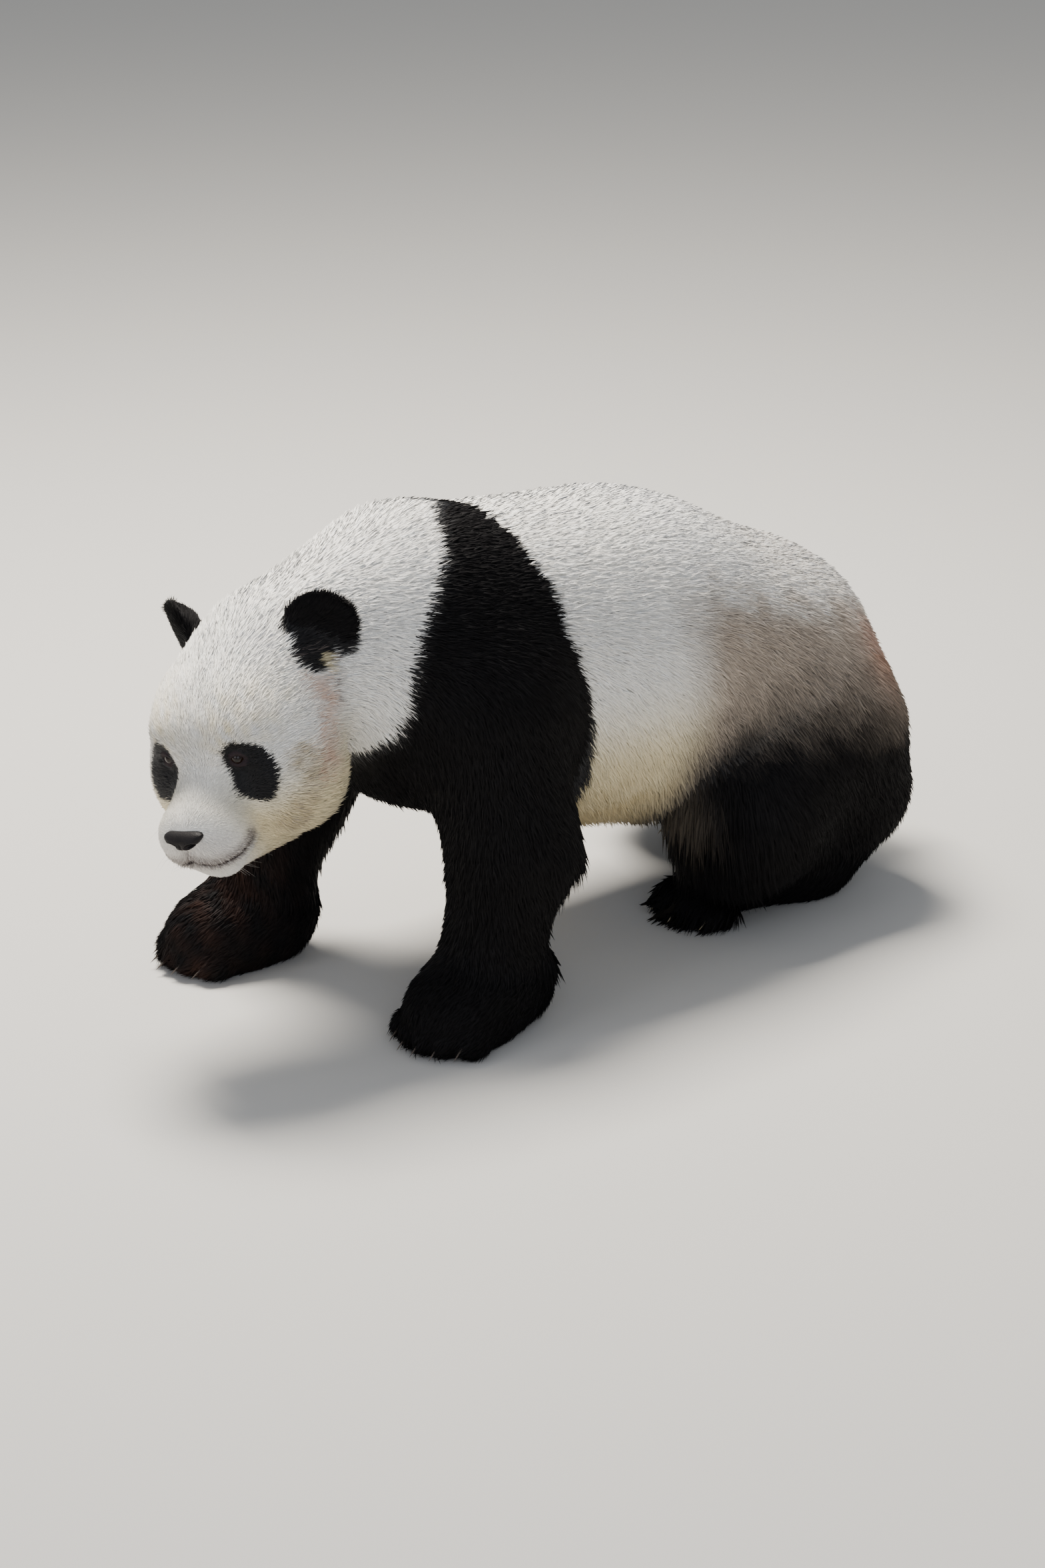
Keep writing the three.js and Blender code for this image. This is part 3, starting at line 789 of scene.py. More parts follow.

        # Thin hair over pink skin, from the root of the ear down behind the cheek, partly painted shade in
        # the fold where the head turns on the neck.
        thin = track(self.streak, m)
        thin_hair_and_fold_shade = ramp(34 * MM, 8 * MM, thin + 3 * edge) * (w["head"] + w["neck"])
        c = mixed(c, Hue.PINK_AND_SHADE, thin_hair_and_fold_shade * (0.60 + 0.25 * ripple(p, 0.03, 11))
                  * ramp(1 * MM, 8 * MM, np.minimum(at.ear, root)))
        flecks = bump(thin - 26 * MM, 8 * MM) * ramp(0.0, 0.03, q[:, 2]) * (speck > 0.72)
        c = mixed(c, Hue.SMOKE, flecks * (q[:, 1] > 0.03) * 0.8)
        c = mixed(c, Hue.CREAM, ramp(3 * MM, -3 * MM, tuft) * 0.7)
        return c

    def haunch(self, at: Parts, edge: Array | float = 0.0) -> Array:
        """How much a place is on the brown-grey haunch, 0 to 1, its front border moved by edge."""
        w = at.weights()
        return (w["trunk"] + w["hind"] + w["tail"]) * ramp(0.075, 0.20, at.p[:, 1] + edge)


# ------------------------------------------------------------------ meshes
def new_piece(name: str, verts: Array, faces: Array, smooth: bool = True) -> bpy.types.Object:
    """An object at the origin from arrays of corners and faces of equal size.

    Args:
        name: the piece's name.
        verts: corners, n x 3, metres.
        faces: corner numbers, m x 3 or m x 4, seen from outside anticlockwise.
        smooth: whether its faces are shaded smooth.

    Returns:
        The object, linked to the scene.
    """
    mesh = bpy.data.meshes.new(name)
    sides = faces.shape[1]
    mesh.vertices.add(len(verts))
    mesh.vertices.foreach_set("co", verts.astype(np.float32).ravel())
    mesh.loops.add(faces.size)
    mesh.loops.foreach_set("vertex_index", faces.astype(np.int32).ravel())
    mesh.polygons.add(len(faces))
    mesh.polygons.foreach_set("loop_start", np.arange(0, faces.size, sides, dtype=np.int32))
    mesh.update(calc_edges=True)
    mesh.polygons.foreach_set("use_smooth", np.full(len(faces), smooth))
    mesh.validate()
    obj = bpy.data.objects.new(name, mesh)
    bpy.context.scene.collection.objects.link(obj)
    return obj


def closed_piece(name: str, verts: Array, faces: Array, colours: Array | None = None) -> bpy.types.Object:
    """A new piece with doubled corners merged and all its faces turned outwards.

    Args:
        name: the piece's name.
        verts: corners, n x 3, metres.
        faces: corner numbers, m x 3 or m x 4.
        colours: a colour for each corner, or none.

    Returns:
        The object.
    """
    obj = new_piece(name, verts, faces)
    if colours is not None:
        put_colours(obj, colours)
    bm = bmesh.new()
    bm.from_mesh(obj.data)
    bmesh.ops.remove_doubles(bm, verts=bm.verts, dist=0.01 * MM)
    bmesh.ops.recalc_face_normals(bm, faces=bm.faces)
    bm.to_mesh(obj.data)
    bm.free()
    return obj


def places(mesh: bpy.types.Mesh) -> Array:
    """The corners of a mesh, n x 3."""
    co = np.empty(len(mesh.vertices) * 3)
    mesh.vertices.foreach_get("co", co)
    return co.reshape(-1, 3)


def put_colours(obj: bpy.types.Object, colours: Array) -> None:
    """Stores one linear colour for each corner point of a mesh, as the attribute Coat.

    Args:
        obj: the object.
        colours: n x 3.
    """
    layer = obj.data.color_attributes.new("Coat", "FLOAT_COLOR", "POINT")
    rgba = np.concatenate([colours, np.ones((len(colours), 1))], 1)
    layer.data.foreach_set("color", rgba.astype(np.float32).ravel())


def put_normals(obj: bpy.types.Object, normals: Array) -> None:
    """Stores a shading normal for each corner point of a mesh.

    Args:
        obj: the object.
        normals: n x 3, of length one.
    """
    layer = obj.data.attributes.new("custom_normal", "FLOAT_VECTOR", "POINT")
    layer.data.foreach_set("vector", normals.astype(np.float32).ravel())


def put_uv(obj: bpy.types.Object, name: str, uv: Array, faces: Array) -> None:
    """Stores a UV map given by corner point.

    Args:
        obj: the object.
        name: the map's name.
        uv: n x 2.
        faces: the faces that the object was made of.
    """
    layer = obj.data.uv_layers.new(name=name)
    layer.data.foreach_set("uv", uv[faces.ravel()].astype(np.float32).ravel())


def grid_faces(rows: int, cols: int, wrap: bool = True) -> Array:
    """Quads of a grid of corners numbered row by row.

    Args:
        rows: rows of corners.
        cols: corners in a row.
        wrap: whether the last column meets the first.

    Returns:
        Corner numbers, m x 4.
    """
    i, j = np.meshgrid(np.arange(rows - 1), np.arange(cols if wrap else cols - 1), indexing="ij")
    a, b = i * cols + j, i * cols + (j + 1) % cols
    return np.stack([a, b, b + cols, a + cols], -1).reshape(-1, 4)


def surface_net(f: Field, lo: tuple, hi: tuple, step: float) -> tuple[Array, Array]:
    """The closed surface where a field is zero: one corner in each grid cell that the
    surface crosses, at the mean of the crossings, and one quad for each crossed edge.

    Args:
        f: the field.
        lo: lowest corner of the grid.
        hi: highest corner of the grid.
        step: size of a cell.

    Returns:
        Corners, n x 3, and quads, m x 4.
    """
    axes = [np.arange(a, b + step, step) for a, b in zip(lo, hi)]
    size = [len(a) for a in axes]
    values = np.empty(size)
    y, z = np.meshgrid(axes[1], axes[2], indexing="ij")
    for i, x in enumerate(axes[0]):
        values[i] = f(np.stack([np.full(y.size, x), y.ravel(), z.ravel()], 1)).reshape(y.shape)
    inside = values < 0
    total = np.zeros([n - 1 for n in size] + [3])
    count = np.zeros([n - 1 for n in size])

    def corner(a: Array, o: tuple) -> Array:
        """The values of a at corner o of every cell."""
        return a[tuple(slice(k, k + n - 1) for k, n in zip(o, size))]

    for axis in range(3):
        for o in np.ndindex(2, 2, 2):
            if o[axis]:
                continue
            far = tuple(1 if d == axis else o[d] for d in range(3))
            a, b = corner(values, o), corner(values, far)
            cross = (a < 0) != (b < 0)
            t = np.where(cross, a / np.where(cross, a - b, 1), 0)
            for d in range(3):
                total[..., d] += np.where(cross, t if d == axis else o[d], 0)
            count += cross
    full = count > 0
    number = np.full(full.shape, -1)
    number[full] = np.arange(full.sum())
    verts = np.array(lo) + (np.argwhere(full) + total[full] / count[full][:, None]) * step
    quads = []
    for axis in range(3):
        a = inside[tuple(slice(0, -1) if d == axis else slice(None) for d in range(3))]
        b = inside[tuple(slice(1, None) if d == axis else slice(None) for d in range(3))]
        at = np.argwhere(a != b)
        u, v = np.eye(3, dtype=int)[(axis + 1) % 3], np.eye(3, dtype=int)[(axis + 2) % 3]
        ring = [number[tuple((at - du * u - dv * v).T)] for du, dv in ((1, 1), (0, 1), (0, 0), (1, 0))]
        quad = np.stack(ring, 1)
        outwards = a[tuple(at.T)]
        quad[~outwards] = quad[~outwards][:, ::-1]
        quads.append(quad)
    return verts, np.concatenate(quads)


@dataclass
class Skin:
    """The one closed skin under the coat."""

    body: BodyShape
    face: Face
    coat: Coat
    step: float = 8 * MM
    sole: float = 1.2 * MM

    def field(self, p: Array) -> Array:
        """The coat's outline sunk by the coat's depth, with the face carved in."""
        at = self.body.parts(p)
        depth, _, _ = self.coat.sizes(at)
        f = self.body.outline(at) + depth
        f = self.face.carve(f, at.q)
        return np.maximum(f, self.sole - p[:, 2])

    def refine(self, mesh: bpy.types.Mesh, chosen: Field, cuts: int) -> None:
        """Cuts up the edges where chosen is true at both ends, and settles the corners.

        Args:
            mesh: the mesh to cut.
            chosen: tells which points are in the finer area.
            cuts: cuts across each edge.
        """
        bm = bmesh.new()
        bm.from_mesh(mesh)
        co = np.array([v.co for v in bm.verts])
        fine = chosen(co)
        edges = [e for e in bm.edges if fine[e.verts[0].index] and fine[e.verts[1].index]]
        bmesh.ops.subdivide_edges(bm, edges=edges, cuts=cuts, use_grid_fill=True)
        bm.to_mesh(mesh)
        bm.free()
        mesh.vertices.foreach_set("co", settle(self.field, places(mesh), 3).ravel())

    def build(self) -> bpy.types.Object:
        """The skin: a coarse net, cut finer over the head, and finest at eyes and mouth."""
        verts, quads = surface_net(self.field, self.body.lo, self.body.hi, self.step)
        obj = new_piece("skin", settle(self.field, verts, 3), quads)
        to_head = self.body.head.to_head

        def head_area(p: Array) -> Array:
            """Whether points are on the head."""
            q = to_head(p)
            return (q[:, 1] < 0.10) & (self.body.parts(p).head < 0.012)

        def face_area(p: Array) -> Array:
            """Whether points are near an eye, the mouth or the groove under the nose."""
            q = to_head(p)
            mouth = self.face.mouth_distance(q) < 0.016
            nose = (q[:, 1] < -0.17) & (np.abs(q[:, 0]) < 0.02) & (q[:, 2] < -0.035)
            return (self.coat.eye_away(q) < 0.027) | mouth | nose

        self.refine(obj.data, head_area, 1)
        self.refine(obj.data, face_area, 2)
        obj.data.polygons.foreach_set("use_smooth", np.ones(len(obj.data.polygons), bool))
        obj.data.update()
        return obj


class Wrap(Enum):
    """How a coat piece is laid out flat: as a sleeve about an axis, or as a dome seen
    along one, each point at its angle from the axis."""

    SLEEVE = "sleeve"
    DOME = "dome"


@dataclass(frozen=True)
class Patch:
    """One piece of the coat: how many locks, and how its own area unwraps."""

    name: str
    slot: str
    locks: int
    wrap: Wrap
    centre: tuple[float, float, float]
    axis: tuple[float, float, float]
    span: float = 1.0

    def unwrap(self, p: Array) -> Array:
        """Flat places of roots, each 0 to 1.

        A sleeve gives the angle about the axis and the way along it. A dome gives a
        point at the angle from the axis, in the direction in which it lies round it.

        Args:
            p: roots, n x 3, in the body's frame.

        Returns:
            n x 2.
        """
        a = unit(np.array(self.axis))
        b = unit(np.cross(a, [0.31, 0.2, 0.93]))
        c = np.cross(a, b)
        d = p - vec(*self.centre)
        if self.wrap is Wrap.SLEEVE:
            turn = np.arctan2(d @ c, d @ b) / (2 * np.pi) + 0.5
            return np.stack([0.01 + 0.98 * turn, 0.5 + 0.98 * (d @ a) / self.span], 1)
        angle = np.arccos(np.clip(unit(d) @ a, -1, 1)) / np.pi
        way = unit(np.stack([d @ b, d @ c], 1))
        return 0.5 + 0.48 * angle[:, None] * way


@dataclass
class Pelt:
    """All the locks of the coat, grown from the skin's own faces."""

    skin: Skin
    coat: Coat
    seed: int = 41
    patch_wide: float = 0.003
    loin: float = -0.075
    croup: float = 0.26
    fore_paw: float = 0.112
    hind_paw: float = 0.100
    throat: float = -0.42
    dark: float = 0.06
    patches: tuple = (
        Patch("coat_face_left", "white_coat", 38000, Wrap.DOME, (35, -500, 462), (0.3, -1, -0.3)),
        Patch("coat_face_right", "white_coat", 31000, Wrap.DOME, (35, -500, 462), (0.3, -1, -0.3)),
        Patch("coat_crown", "white_coat", 17000, Wrap.SLEEVE, (10, -430, 480), (0.2, -1, -0.1), 0.5),
        Patch("coat_ears", "black_coat", 14000, Wrap.DOME, (45, -470, 560), (0, 0, 1)),
        Patch("coat_neck", "white_coat", 27000, Wrap.SLEEVE, (5, -330, 500), (0, -1, 0), 0.7),
        Patch("coat_shoulders", "black_coat", 35000, Wrap.SLEEVE, (0, -200, 450), (0, 1, 0), 0.8),
        Patch("coat_flank_left", "white_coat", 39000, Wrap.SLEEVE, (0, 100, 430), (0, 1, 0), 0.8),
        Patch("coat_flank_right", "white_coat", 27000, Wrap.SLEEVE, (0, 100, 430), (0, 1, 0), 0.8),
        Patch("coat_rump", "grey_coat", 40500, Wrap.DOME, (0, 330, 350), (0, 1, 0.2)),
        Patch("coat_foreleg_left", "black_coat", 20000, Wrap.SLEEVE, (205, -230, 250), (0, 0, 1), 0.8),
        Patch("coat_foreleg_right", "black_coat", 18000, Wrap.SLEEVE, (-205, -290, 250), (0, 0, 1), 0.8),
        Patch("coat_hindleg_left", "black_coat", 22000, Wrap.SLEEVE, (130, 400, 200), (0, 0, 1), 0.8),
        Patch("coat_hindleg_right", "black_coat", 15000, Wrap.SLEEVE, (-130, 540, 200), (0, 0, 1), 0.8),
        Patch("coat_paws", "black_coat", 32000, Wrap.DOME, (0, 100, -300), (0, 0, 1)),
        Patch("coat_tail", "white_coat", 3500, Wrap.DOME, (0, 640, 340), (0, 1, 0)),
    )

    def owner(self, at: Parts) -> Array:
        """The number in patches of the piece that owns each place."""
        order = {p.name: i for i, p in enumerate(self.patches)}
        w = at.weights()
        names = list(w)
        top = np.argmax(np.stack([w[n] for n in names]), 0)
        x, y, z = at.p.T
        left = x > 0
        part = {n: top == i for i, n in enumerate(names)}

        def pick(name: str) -> int:
            """The number of a piece."""
            return order["coat_" + name]

        def sided(name: str, on_left: Array) -> Array:
            """The numbers of a left and a right piece."""
            return np.where(on_left, pick(name + "_left"), pick(name + "_right"))

        trunk = np.select([y < self.loin, y < self.croup],
                          [pick("shoulders"), sided("flank", left)], pick("rump"))
        fore = np.where(z < self.fore_paw, pick("paws"), sided("foreleg", left))
        hind = np.where(z < self.hind_paw, pick("paws"), sided("hindleg", left))
        tone = self.coat.colour(at, np.random.default_rng(self.seed), 0.0).mean(1)
        neck = np.where((tone < self.dark) & (y > self.throat), pick("shoulders"), pick("neck"))
        return np.select(
            [part["head"] & (at.q[:, 1] < 0.0), part["head"], part["ear"], part["neck"],
             part["trunk"], part["fore"], part["hind"]],
            [sided("face", at.q[:, 0] > 0), pick("crown"), pick("ears"), neck, trunk, fore, hind],
            pick("tail"))

    def bare(self, at: Parts) -> Array:
        """Places with no hair: eyes, lips, nose, soles and under the claws."""
        q, z = at.q, at.p[:, 2]
        gap = np.min([self.coat.face.lids(q, s)[1] for _, s in SIDES], 0)
        eye = (self.coat.eye_away(q) < 0.016) & (gap < 2.6 * MM)
        lips = self.coat.face.mouth_distance(q) < 4.2 * MM
        away = q - vec(*self.coat.body.head.nose_at)
        high = away[:, 2] / (16 * MM)
        wide = 36 * MM * (0.70 + 0.35 * np.clip(high, -1, 1))
        nose = (away[:, 0] / wide) ** 2 + (away[:, 1] / (20 * MM)) ** 2 + high ** 2 < 1
        return eye | lips | nose | (z < 2.5 * MM)

    def roots(self, obj: bpy.types.Object) -> tuple[Array, Array, Array]:
        """Root places of all locks, their normals and the pieces they belong to.

        Faces are drawn in proportion to their area over the area of a lock there, at
        even steps along the running total, so the roots spread evenly.

        Args:
            obj: the skin.

        Returns:
            Roots, n x 3, normals, n x 3, and piece numbers, n.
        """
        mesh = obj.data
        mesh.calc_loop_triangles()
        tri = np.empty(len(mesh.loop_triangles) * 3, np.int32)
        mesh.loop_triangles.foreach_get("vertices", tri)
        corner = places(mesh)[tri.reshape(-1, 3)]
        mid = corner.mean(1)
        at = self.coat.body.parts(mid)
        _, length, width = self.coat.sizes(at)
        area = np.linalg.norm(np.cross(corner[:, 1] - corner[:, 0], corner[:, 2] - corner[:, 0]), axis=1)
        need = np.where(self.bare(at), 0, area / (length * width))
        owner = self.owner(at)
        rng = np.random.default_rng(self.seed)
        points, pieces = [], []
        for number, patch in enumerate(self.patches):
            mine = np.flatnonzero((owner == number) & (need > 0))
            run = np.cumsum(need[mine])
            count = patch.locks
            drawn = (np.arange(count) + rng.uniform(size=count)) / count * run[-1]
            pick = mine[np.minimum(np.searchsorted(run, drawn), len(mine) - 1)]
            a, b = rng.uniform(size=(2, count, 1))
            over = a + b > 1
            a, b = np.where(over, 1 - a, a), np.where(over, 1 - b, b)
            c = corner[pick]
            points.append(c[:, 0] + a * (c[:, 1] - c[:, 0]) + b * (c[:, 2] - c[:, 0]))
            pieces.append(np.full(count, number))
            LOG.info("%s: %d locks on %.3f m2, %.1f deep", patch.name, count,
                     area[mine].sum() / 2, count / run[-1])
        p = np.concatenate(points)
        _, g = slope(self.skin.field, p)
        return p, unit(g), np.concatenate(pieces)

    def build(self, obj: bpy.types.Object, shift: Array) -> list[bpy.types.Object]:
        """Grows the coat.

        A lock is a closed wedge: its root, two corners side by side at two fifths of its
        length, and its tip. It leaves the skin at a slant and bends to lie along it, and
        the tip falls a little under its own weight. Its shading normals are the skin's,
        turned outwards at the two side corners, so that the locks run together softly.

        Args:
            obj: the skin, in the body's frame.
            shift: from the body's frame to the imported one.

        Returns:
            One object for each piece of the coat.
        """
        p, n, piece = self.roots(obj)
        rng = np.random.default_rng(self.seed + 1)
        count = len(p)
        at = self.coat.body.parts(p)
        depth, length, width = self.coat.sizes(at)
        grown = 1 + 0.22 * rng.normal(size=count).clip(-2, 2) + 0.15 * ripple(p, 0.06, 8)
        length = length * grown
        way = self.coat.lie(at)
        way = way - (way * n).sum(1, keepdims=True) * n
        way = unit(way + 1e-4)
        side = np.cross(n, way)
        sway = 0.16 * rng.normal(size=count) + 0.18 * ripple(p, 0.05, 9)
        way = unit(way * np.cos(sway)[:, None] + side * np.sin(sway)[:, None])
        side = np.cross(n, way)
        lift = depth / (0.65 * length) * (1 + 0.25 * rng.normal(size=count).clip(-1.5, 2.5))
        lift = np.clip(lift, 0.08, 1.1)[:, None]
        w = at.weights()
        long = (w["trunk"] + w["hind"]) * self.coat.fringe(p)
        hang = (0.10 + 1.1 * long + 0.25 * w["fore"] * self.coat.behind(p))[:, None]
        rise = unit(way * np.cos(lift) + n * np.sin(lift))
        fall = unit(way * np.cos(0.35 * lift) + n * np.sin(0.35 * lift) + hang * DOWN)
        root = p - 1.2 * MM * n
        middle = root + 0.42 * length[:, None] * rise
        tip = middle + 0.58 * length[:, None] * fall
        half = (0.5 * width * (1 + 0.2 * rng.normal(size=count).clip(-2, 2)))[:, None]
        verts = np.stack([root, middle - half * side, middle + half * side, tip], 1)
        low = verts[:, :, 2] < 0.6 * MM
        verts[:, :, 2] = np.where(low, 0.6 * MM, verts[:, :, 2])
        lean = 0.09 * rng.normal(size=(count, 3)) + n
        normals = unit(np.stack([lean, lean - 0.45 * side, lean + 0.45 * side, lean + 0.3 * way], 1))

        shade = (1 + 0.06 * rng.normal(size=count).clip(-2, 2))[:, None]
        seen = p + (0.5 * length * (1 - w["ear"]))[:, None] * fall
        base = self.coat.colour(self.coat.body.parts(seen), rng, 3.2 * MM) * shade
        frost = self.coat.haunch(at) * ramp(0.24, 0.34, p[:, 2]) * rng.uniform(size=count) ** 2
        # Each lock runs from dark at the root to light at the tip: partly the hair's own darker base,
        # partly shade painted at the root where the other locks cover it.
        share = np.tile([0.84, 0.97, 0.97, 1.04], (count, 1))
        share[:, 0] -= 0.25 * frost
        share[:, 3] += 1.1 * frost
        colours = np.clip(base[:, None, :] * share[:, :, None], 0, 0.93)
        flat = np.array([[0, -1], [-0.8, -0.1], [0.8, -0.1], [0, 1]]) * self.patch_wide / 2

        faces = np.array([[0, 2, 1], [3, 1, 2], [0, 1, 3], [0, 3, 2]])
        a, b, c, d = verts.transpose(1, 0, 2)
        inside_out = (np.cross(c - a, b - a) * (d - a)).sum(1) > 0
        made = []
        for number, patch in enumerate(self.patches):
            mine = piece == number
            many = int(mine.sum())
            tri = faces[None] + 4 * np.arange(many)[:, None, None]
            tri = np.where(inside_out[mine][:, None, None], tri[:, :, ::-1], tri).reshape(-1, 3)
            coat = new_piece(patch.name, verts[mine].reshape(-1, 3) + shift, tri)
            put_colours(coat, colours[mine].reshape(-1, 3))
            put_normals(coat, normals[mine].reshape(-1, 3))
            uv = patch.unwrap(p[mine])[:, None, :] + flat[None]
            put_uv(coat, "OFBake", np.clip(uv, 0, 1).reshape(-1, 2), tri)
            made.append(coat)
        return made


# ------------------------------------------------------------------ finishes
def add_node(tree: bpy.types.NodeTree, kind: str, settings: dict | None = None,
             inputs: dict | None = None) -> bpy.types.Node:
    """Adds a node.

    Args:
        tree: the node tree.
        kind: the node's type name.
        settings: values of the node's own properties.
        inputs: for each input, by name or number, a value or an output to link from.

    Returns:
        The node.
    """
    made = tree.nodes.new(kind)
    for key, value in (settings or {}).items():
        setattr(made, key, value)
    for key, value in (inputs or {}).items():
        if isinstance(value, bpy.types.NodeSocket):
            tree.links.new(value, made.inputs[key])
        else:
            made.inputs[key].default_value = value
    return made


def new_material(name: str, levels: dict) -> tuple[bpy.types.Material, bpy.types.NodeTree, bpy.types.Node]:
    """A material with its shader's plain inputs set.

    Args:
        name: the material's name.
        levels: values of the shader's inputs by name.

    Returns:
        The material, its node tree and its shader.
    """
    mat = bpy.data.materials.new(name)
    mat.use_nodes = True
    shader = mat.node_tree.nodes["Principled BSDF"]
    for key, value in levels.items():
        shader.inputs[key].default_value = value
    return mat, mat.node_tree, shader


def speckle(tree: bpy.types.NodeTree, shader: bpy.types.Node, vector: bpy.types.NodeSocket,
            grain: float, detail: float, contrast: float) -> bpy.types.Node:
    """Colours a shader from the piece's own attribute, made lighter and darker by noise.

    Args:
        tree: the node tree.
        shader: the shader.
        vector: the place at which the noise is read.
        grain: size of a speck, metres.
        detail: octaves of the noise.
        contrast: how far it lightens and darkens, as a share.

    Returns:
        The noise node.
    """
    noise = add_node(tree, "ShaderNodeTexNoise", inputs={
        "Vector": vector, "Scale": 1 / grain, "Detail": detail})
    shade = add_node(tree, "ShaderNodeMapRange", inputs={
        "Value": noise.outputs["Fac"], "From Min": 0.3, "From Max": 0.7,
        "To Min": 1 - contrast, "To Max": 1 + contrast})
    colour = add_node(tree, "ShaderNodeAttribute", {"attribute_name": "Coat"})
    mix = add_node(tree, "ShaderNodeVectorMath", {"operation": "SCALE"}, {
        0: colour.outputs["Color"], "Scale": shade.outputs["Result"]})
    tree.links.new(mix.outputs["Vector"], shader.inputs["Base Color"])
    return noise


@dataclass(frozen=True)
class HairFinish:
    """Hair or haired skin: keratin with fine light and dark strands about 1.5 mm wide.

    Its colour comes from the piece's own attribute.
    """

    name: str
    roughness: float
    gloss: float
    sheen: float = 0.10
    ior: float = 1.55
    strand: float = 1.5 * MM
    contrast: float = 0.10
    relief: float = 0.0

    def material(self) -> bpy.types.Material:
        """The finish as a material."""
        mat, tree, shader = new_material(self.name, {
            "Roughness": self.roughness, "IOR": self.ior, "Specular IOR Level": self.gloss,
            "Sheen Weight": self.sheen})
        place = add_node(tree, "ShaderNodeTexCoord")
        noise = speckle(tree, shader, place.outputs["Object"], self.strand, 2.0, self.contrast)
        if self.relief:
            rise = add_node(tree, "ShaderNodeBump", inputs={
                "Height": noise.outputs["Fac"], "Distance": self.relief})
            tree.links.new(rise.outputs["Normal"], shader.inputs["Normal"])
        return mat


@dataclass(frozen=True)
class LeatherFinish:
    """The nose pad: black hairless skin, pebbled in cells about 1.3 mm wide, moist."""

    name: str = "nose leather, moist"
    dark: str = "#0A090A"
    pale: str = "#1D191A"
    cell: float = 1.3 * MM
    relief: float = 0.35 * MM
    clouds: float = 90.0
    roughness: float = 0.50
    gloss: float = 0.26
    ior: float = 1.40

    def material(self) -> bpy.types.Material:
        """The finish as a material."""
        mat, tree, shader = new_material(self.name, {
            "Roughness": self.roughness, "IOR": self.ior, "Specular IOR Level": self.gloss})
        place = add_node(tree, "ShaderNodeTexCoord").outputs["Object"]
        cells = add_node(tree, "ShaderNodeTexVoronoi", {"feature": "SMOOTH_F1"}, {
            "Vector": place, "Scale": 1 / self.cell})
        cloud = add_node(tree, "ShaderNodeTexNoise", inputs={"Vector": place, "Scale": self.clouds})
        mix = add_node(tree, "ShaderNodeMix", {"data_type": "RGBA"}, {
            0: cloud.outputs["Fac"], 6: (*srgb(self.dark), 1), 7: (*srgb(self.pale), 1)})
        rise = add_node(tree, "ShaderNodeBump", {"invert": True}, {
            "Height": cells.outputs["Distance"], "Distance": self.relief})
        tree.links.new(mix.outputs[2], shader.inputs["Base Color"])
        tree.links.new(rise.outputs["Normal"], shader.inputs["Normal"])
        return mat


@dataclass(frozen=True)
class GlossFinish:
    """Wet or polished matter whose colour is on the piece: eye, claw horn or whisker."""

    name: str
    roughness: float
    ior: float
    grain: float = 0.6 * MM
    contrast: float = 0.08
    stretch: tuple = (1.0, 1.0, 1.0)

    def material(self) -> bpy.types.Material:
        """The finish as a material."""
        mat, tree, shader = new_material(self.name, {"Roughness": self.roughness, "IOR": self.ior})
        place = add_node(tree, "ShaderNodeTexCoord")
        scaled = add_node(tree, "ShaderNodeMapping", inputs={
            "Vector": place.outputs["Object"], "Scale": self.stretch})
        speckle(tree, shader, scaled.outputs["Vector"], self.grain, 3.0, self.contrast)
        return mat


# ------------------------------------------------------------------ the other pieces
@dataclass
class Eyes:
    """Two eyeballs with a clear bulge in front, a dark iris and a round pupil."""

    face: Face
    rows: int = 40
    cols: int = 48
    pupil: float = 13 * DEG
    iris: float = 36 * DEG
    tones: tuple = ("#20150F", "#150B07", "#040303")

    def build(self, s: int, name: str, shift: Array) -> bpy.types.Object:
        """An eyeball: a sphere about the gaze, the front raised by a bell curve of the
        angle from it.

        Args:
            s: 1 for the left eye, -1 for the right.
            name: the piece's name.
            shift: from the body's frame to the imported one.

        Returns:
            The eyeball.
        """
        h = self.face.shape
        a = np.linspace(0.0, np.pi, self.rows)[:, None]
        t = np.linspace(0, 2 * np.pi, self.cols, endpoint=False)[None]
        r = (h.eye_radius - 0.1) * MM + 0.9 * MM * np.exp(-((a / (30 * DEG)) ** 4))
        local = np.stack([r * np.sin(a) * np.cos(t), r * np.sin(a) * np.sin(t),
                          r * np.cos(a) + 0 * t], -1).reshape(-1, 3)
        q = self.face.eye_centre(s) + local @ self.face.eye_frame(s)
        angle = (a + 0 * t).ravel()
        around = (0 * a + t).ravel()
        white, brown, black = (srgb(tone) for tone in self.tones)
        streak = 0.5 + 0.5 * np.sin(around * 23 + 3 * np.sin(around * 5))
        iris = brown * (0.8 + 0.8 * streak[:, None])
        c = np.where((angle < self.iris)[:, None], iris, white)
        c = np.where((angle < self.pupil)[:, None], black, c)
        return closed_piece(name, h.to_body(q) + shift, grid_faces(self.rows, self.cols), c)


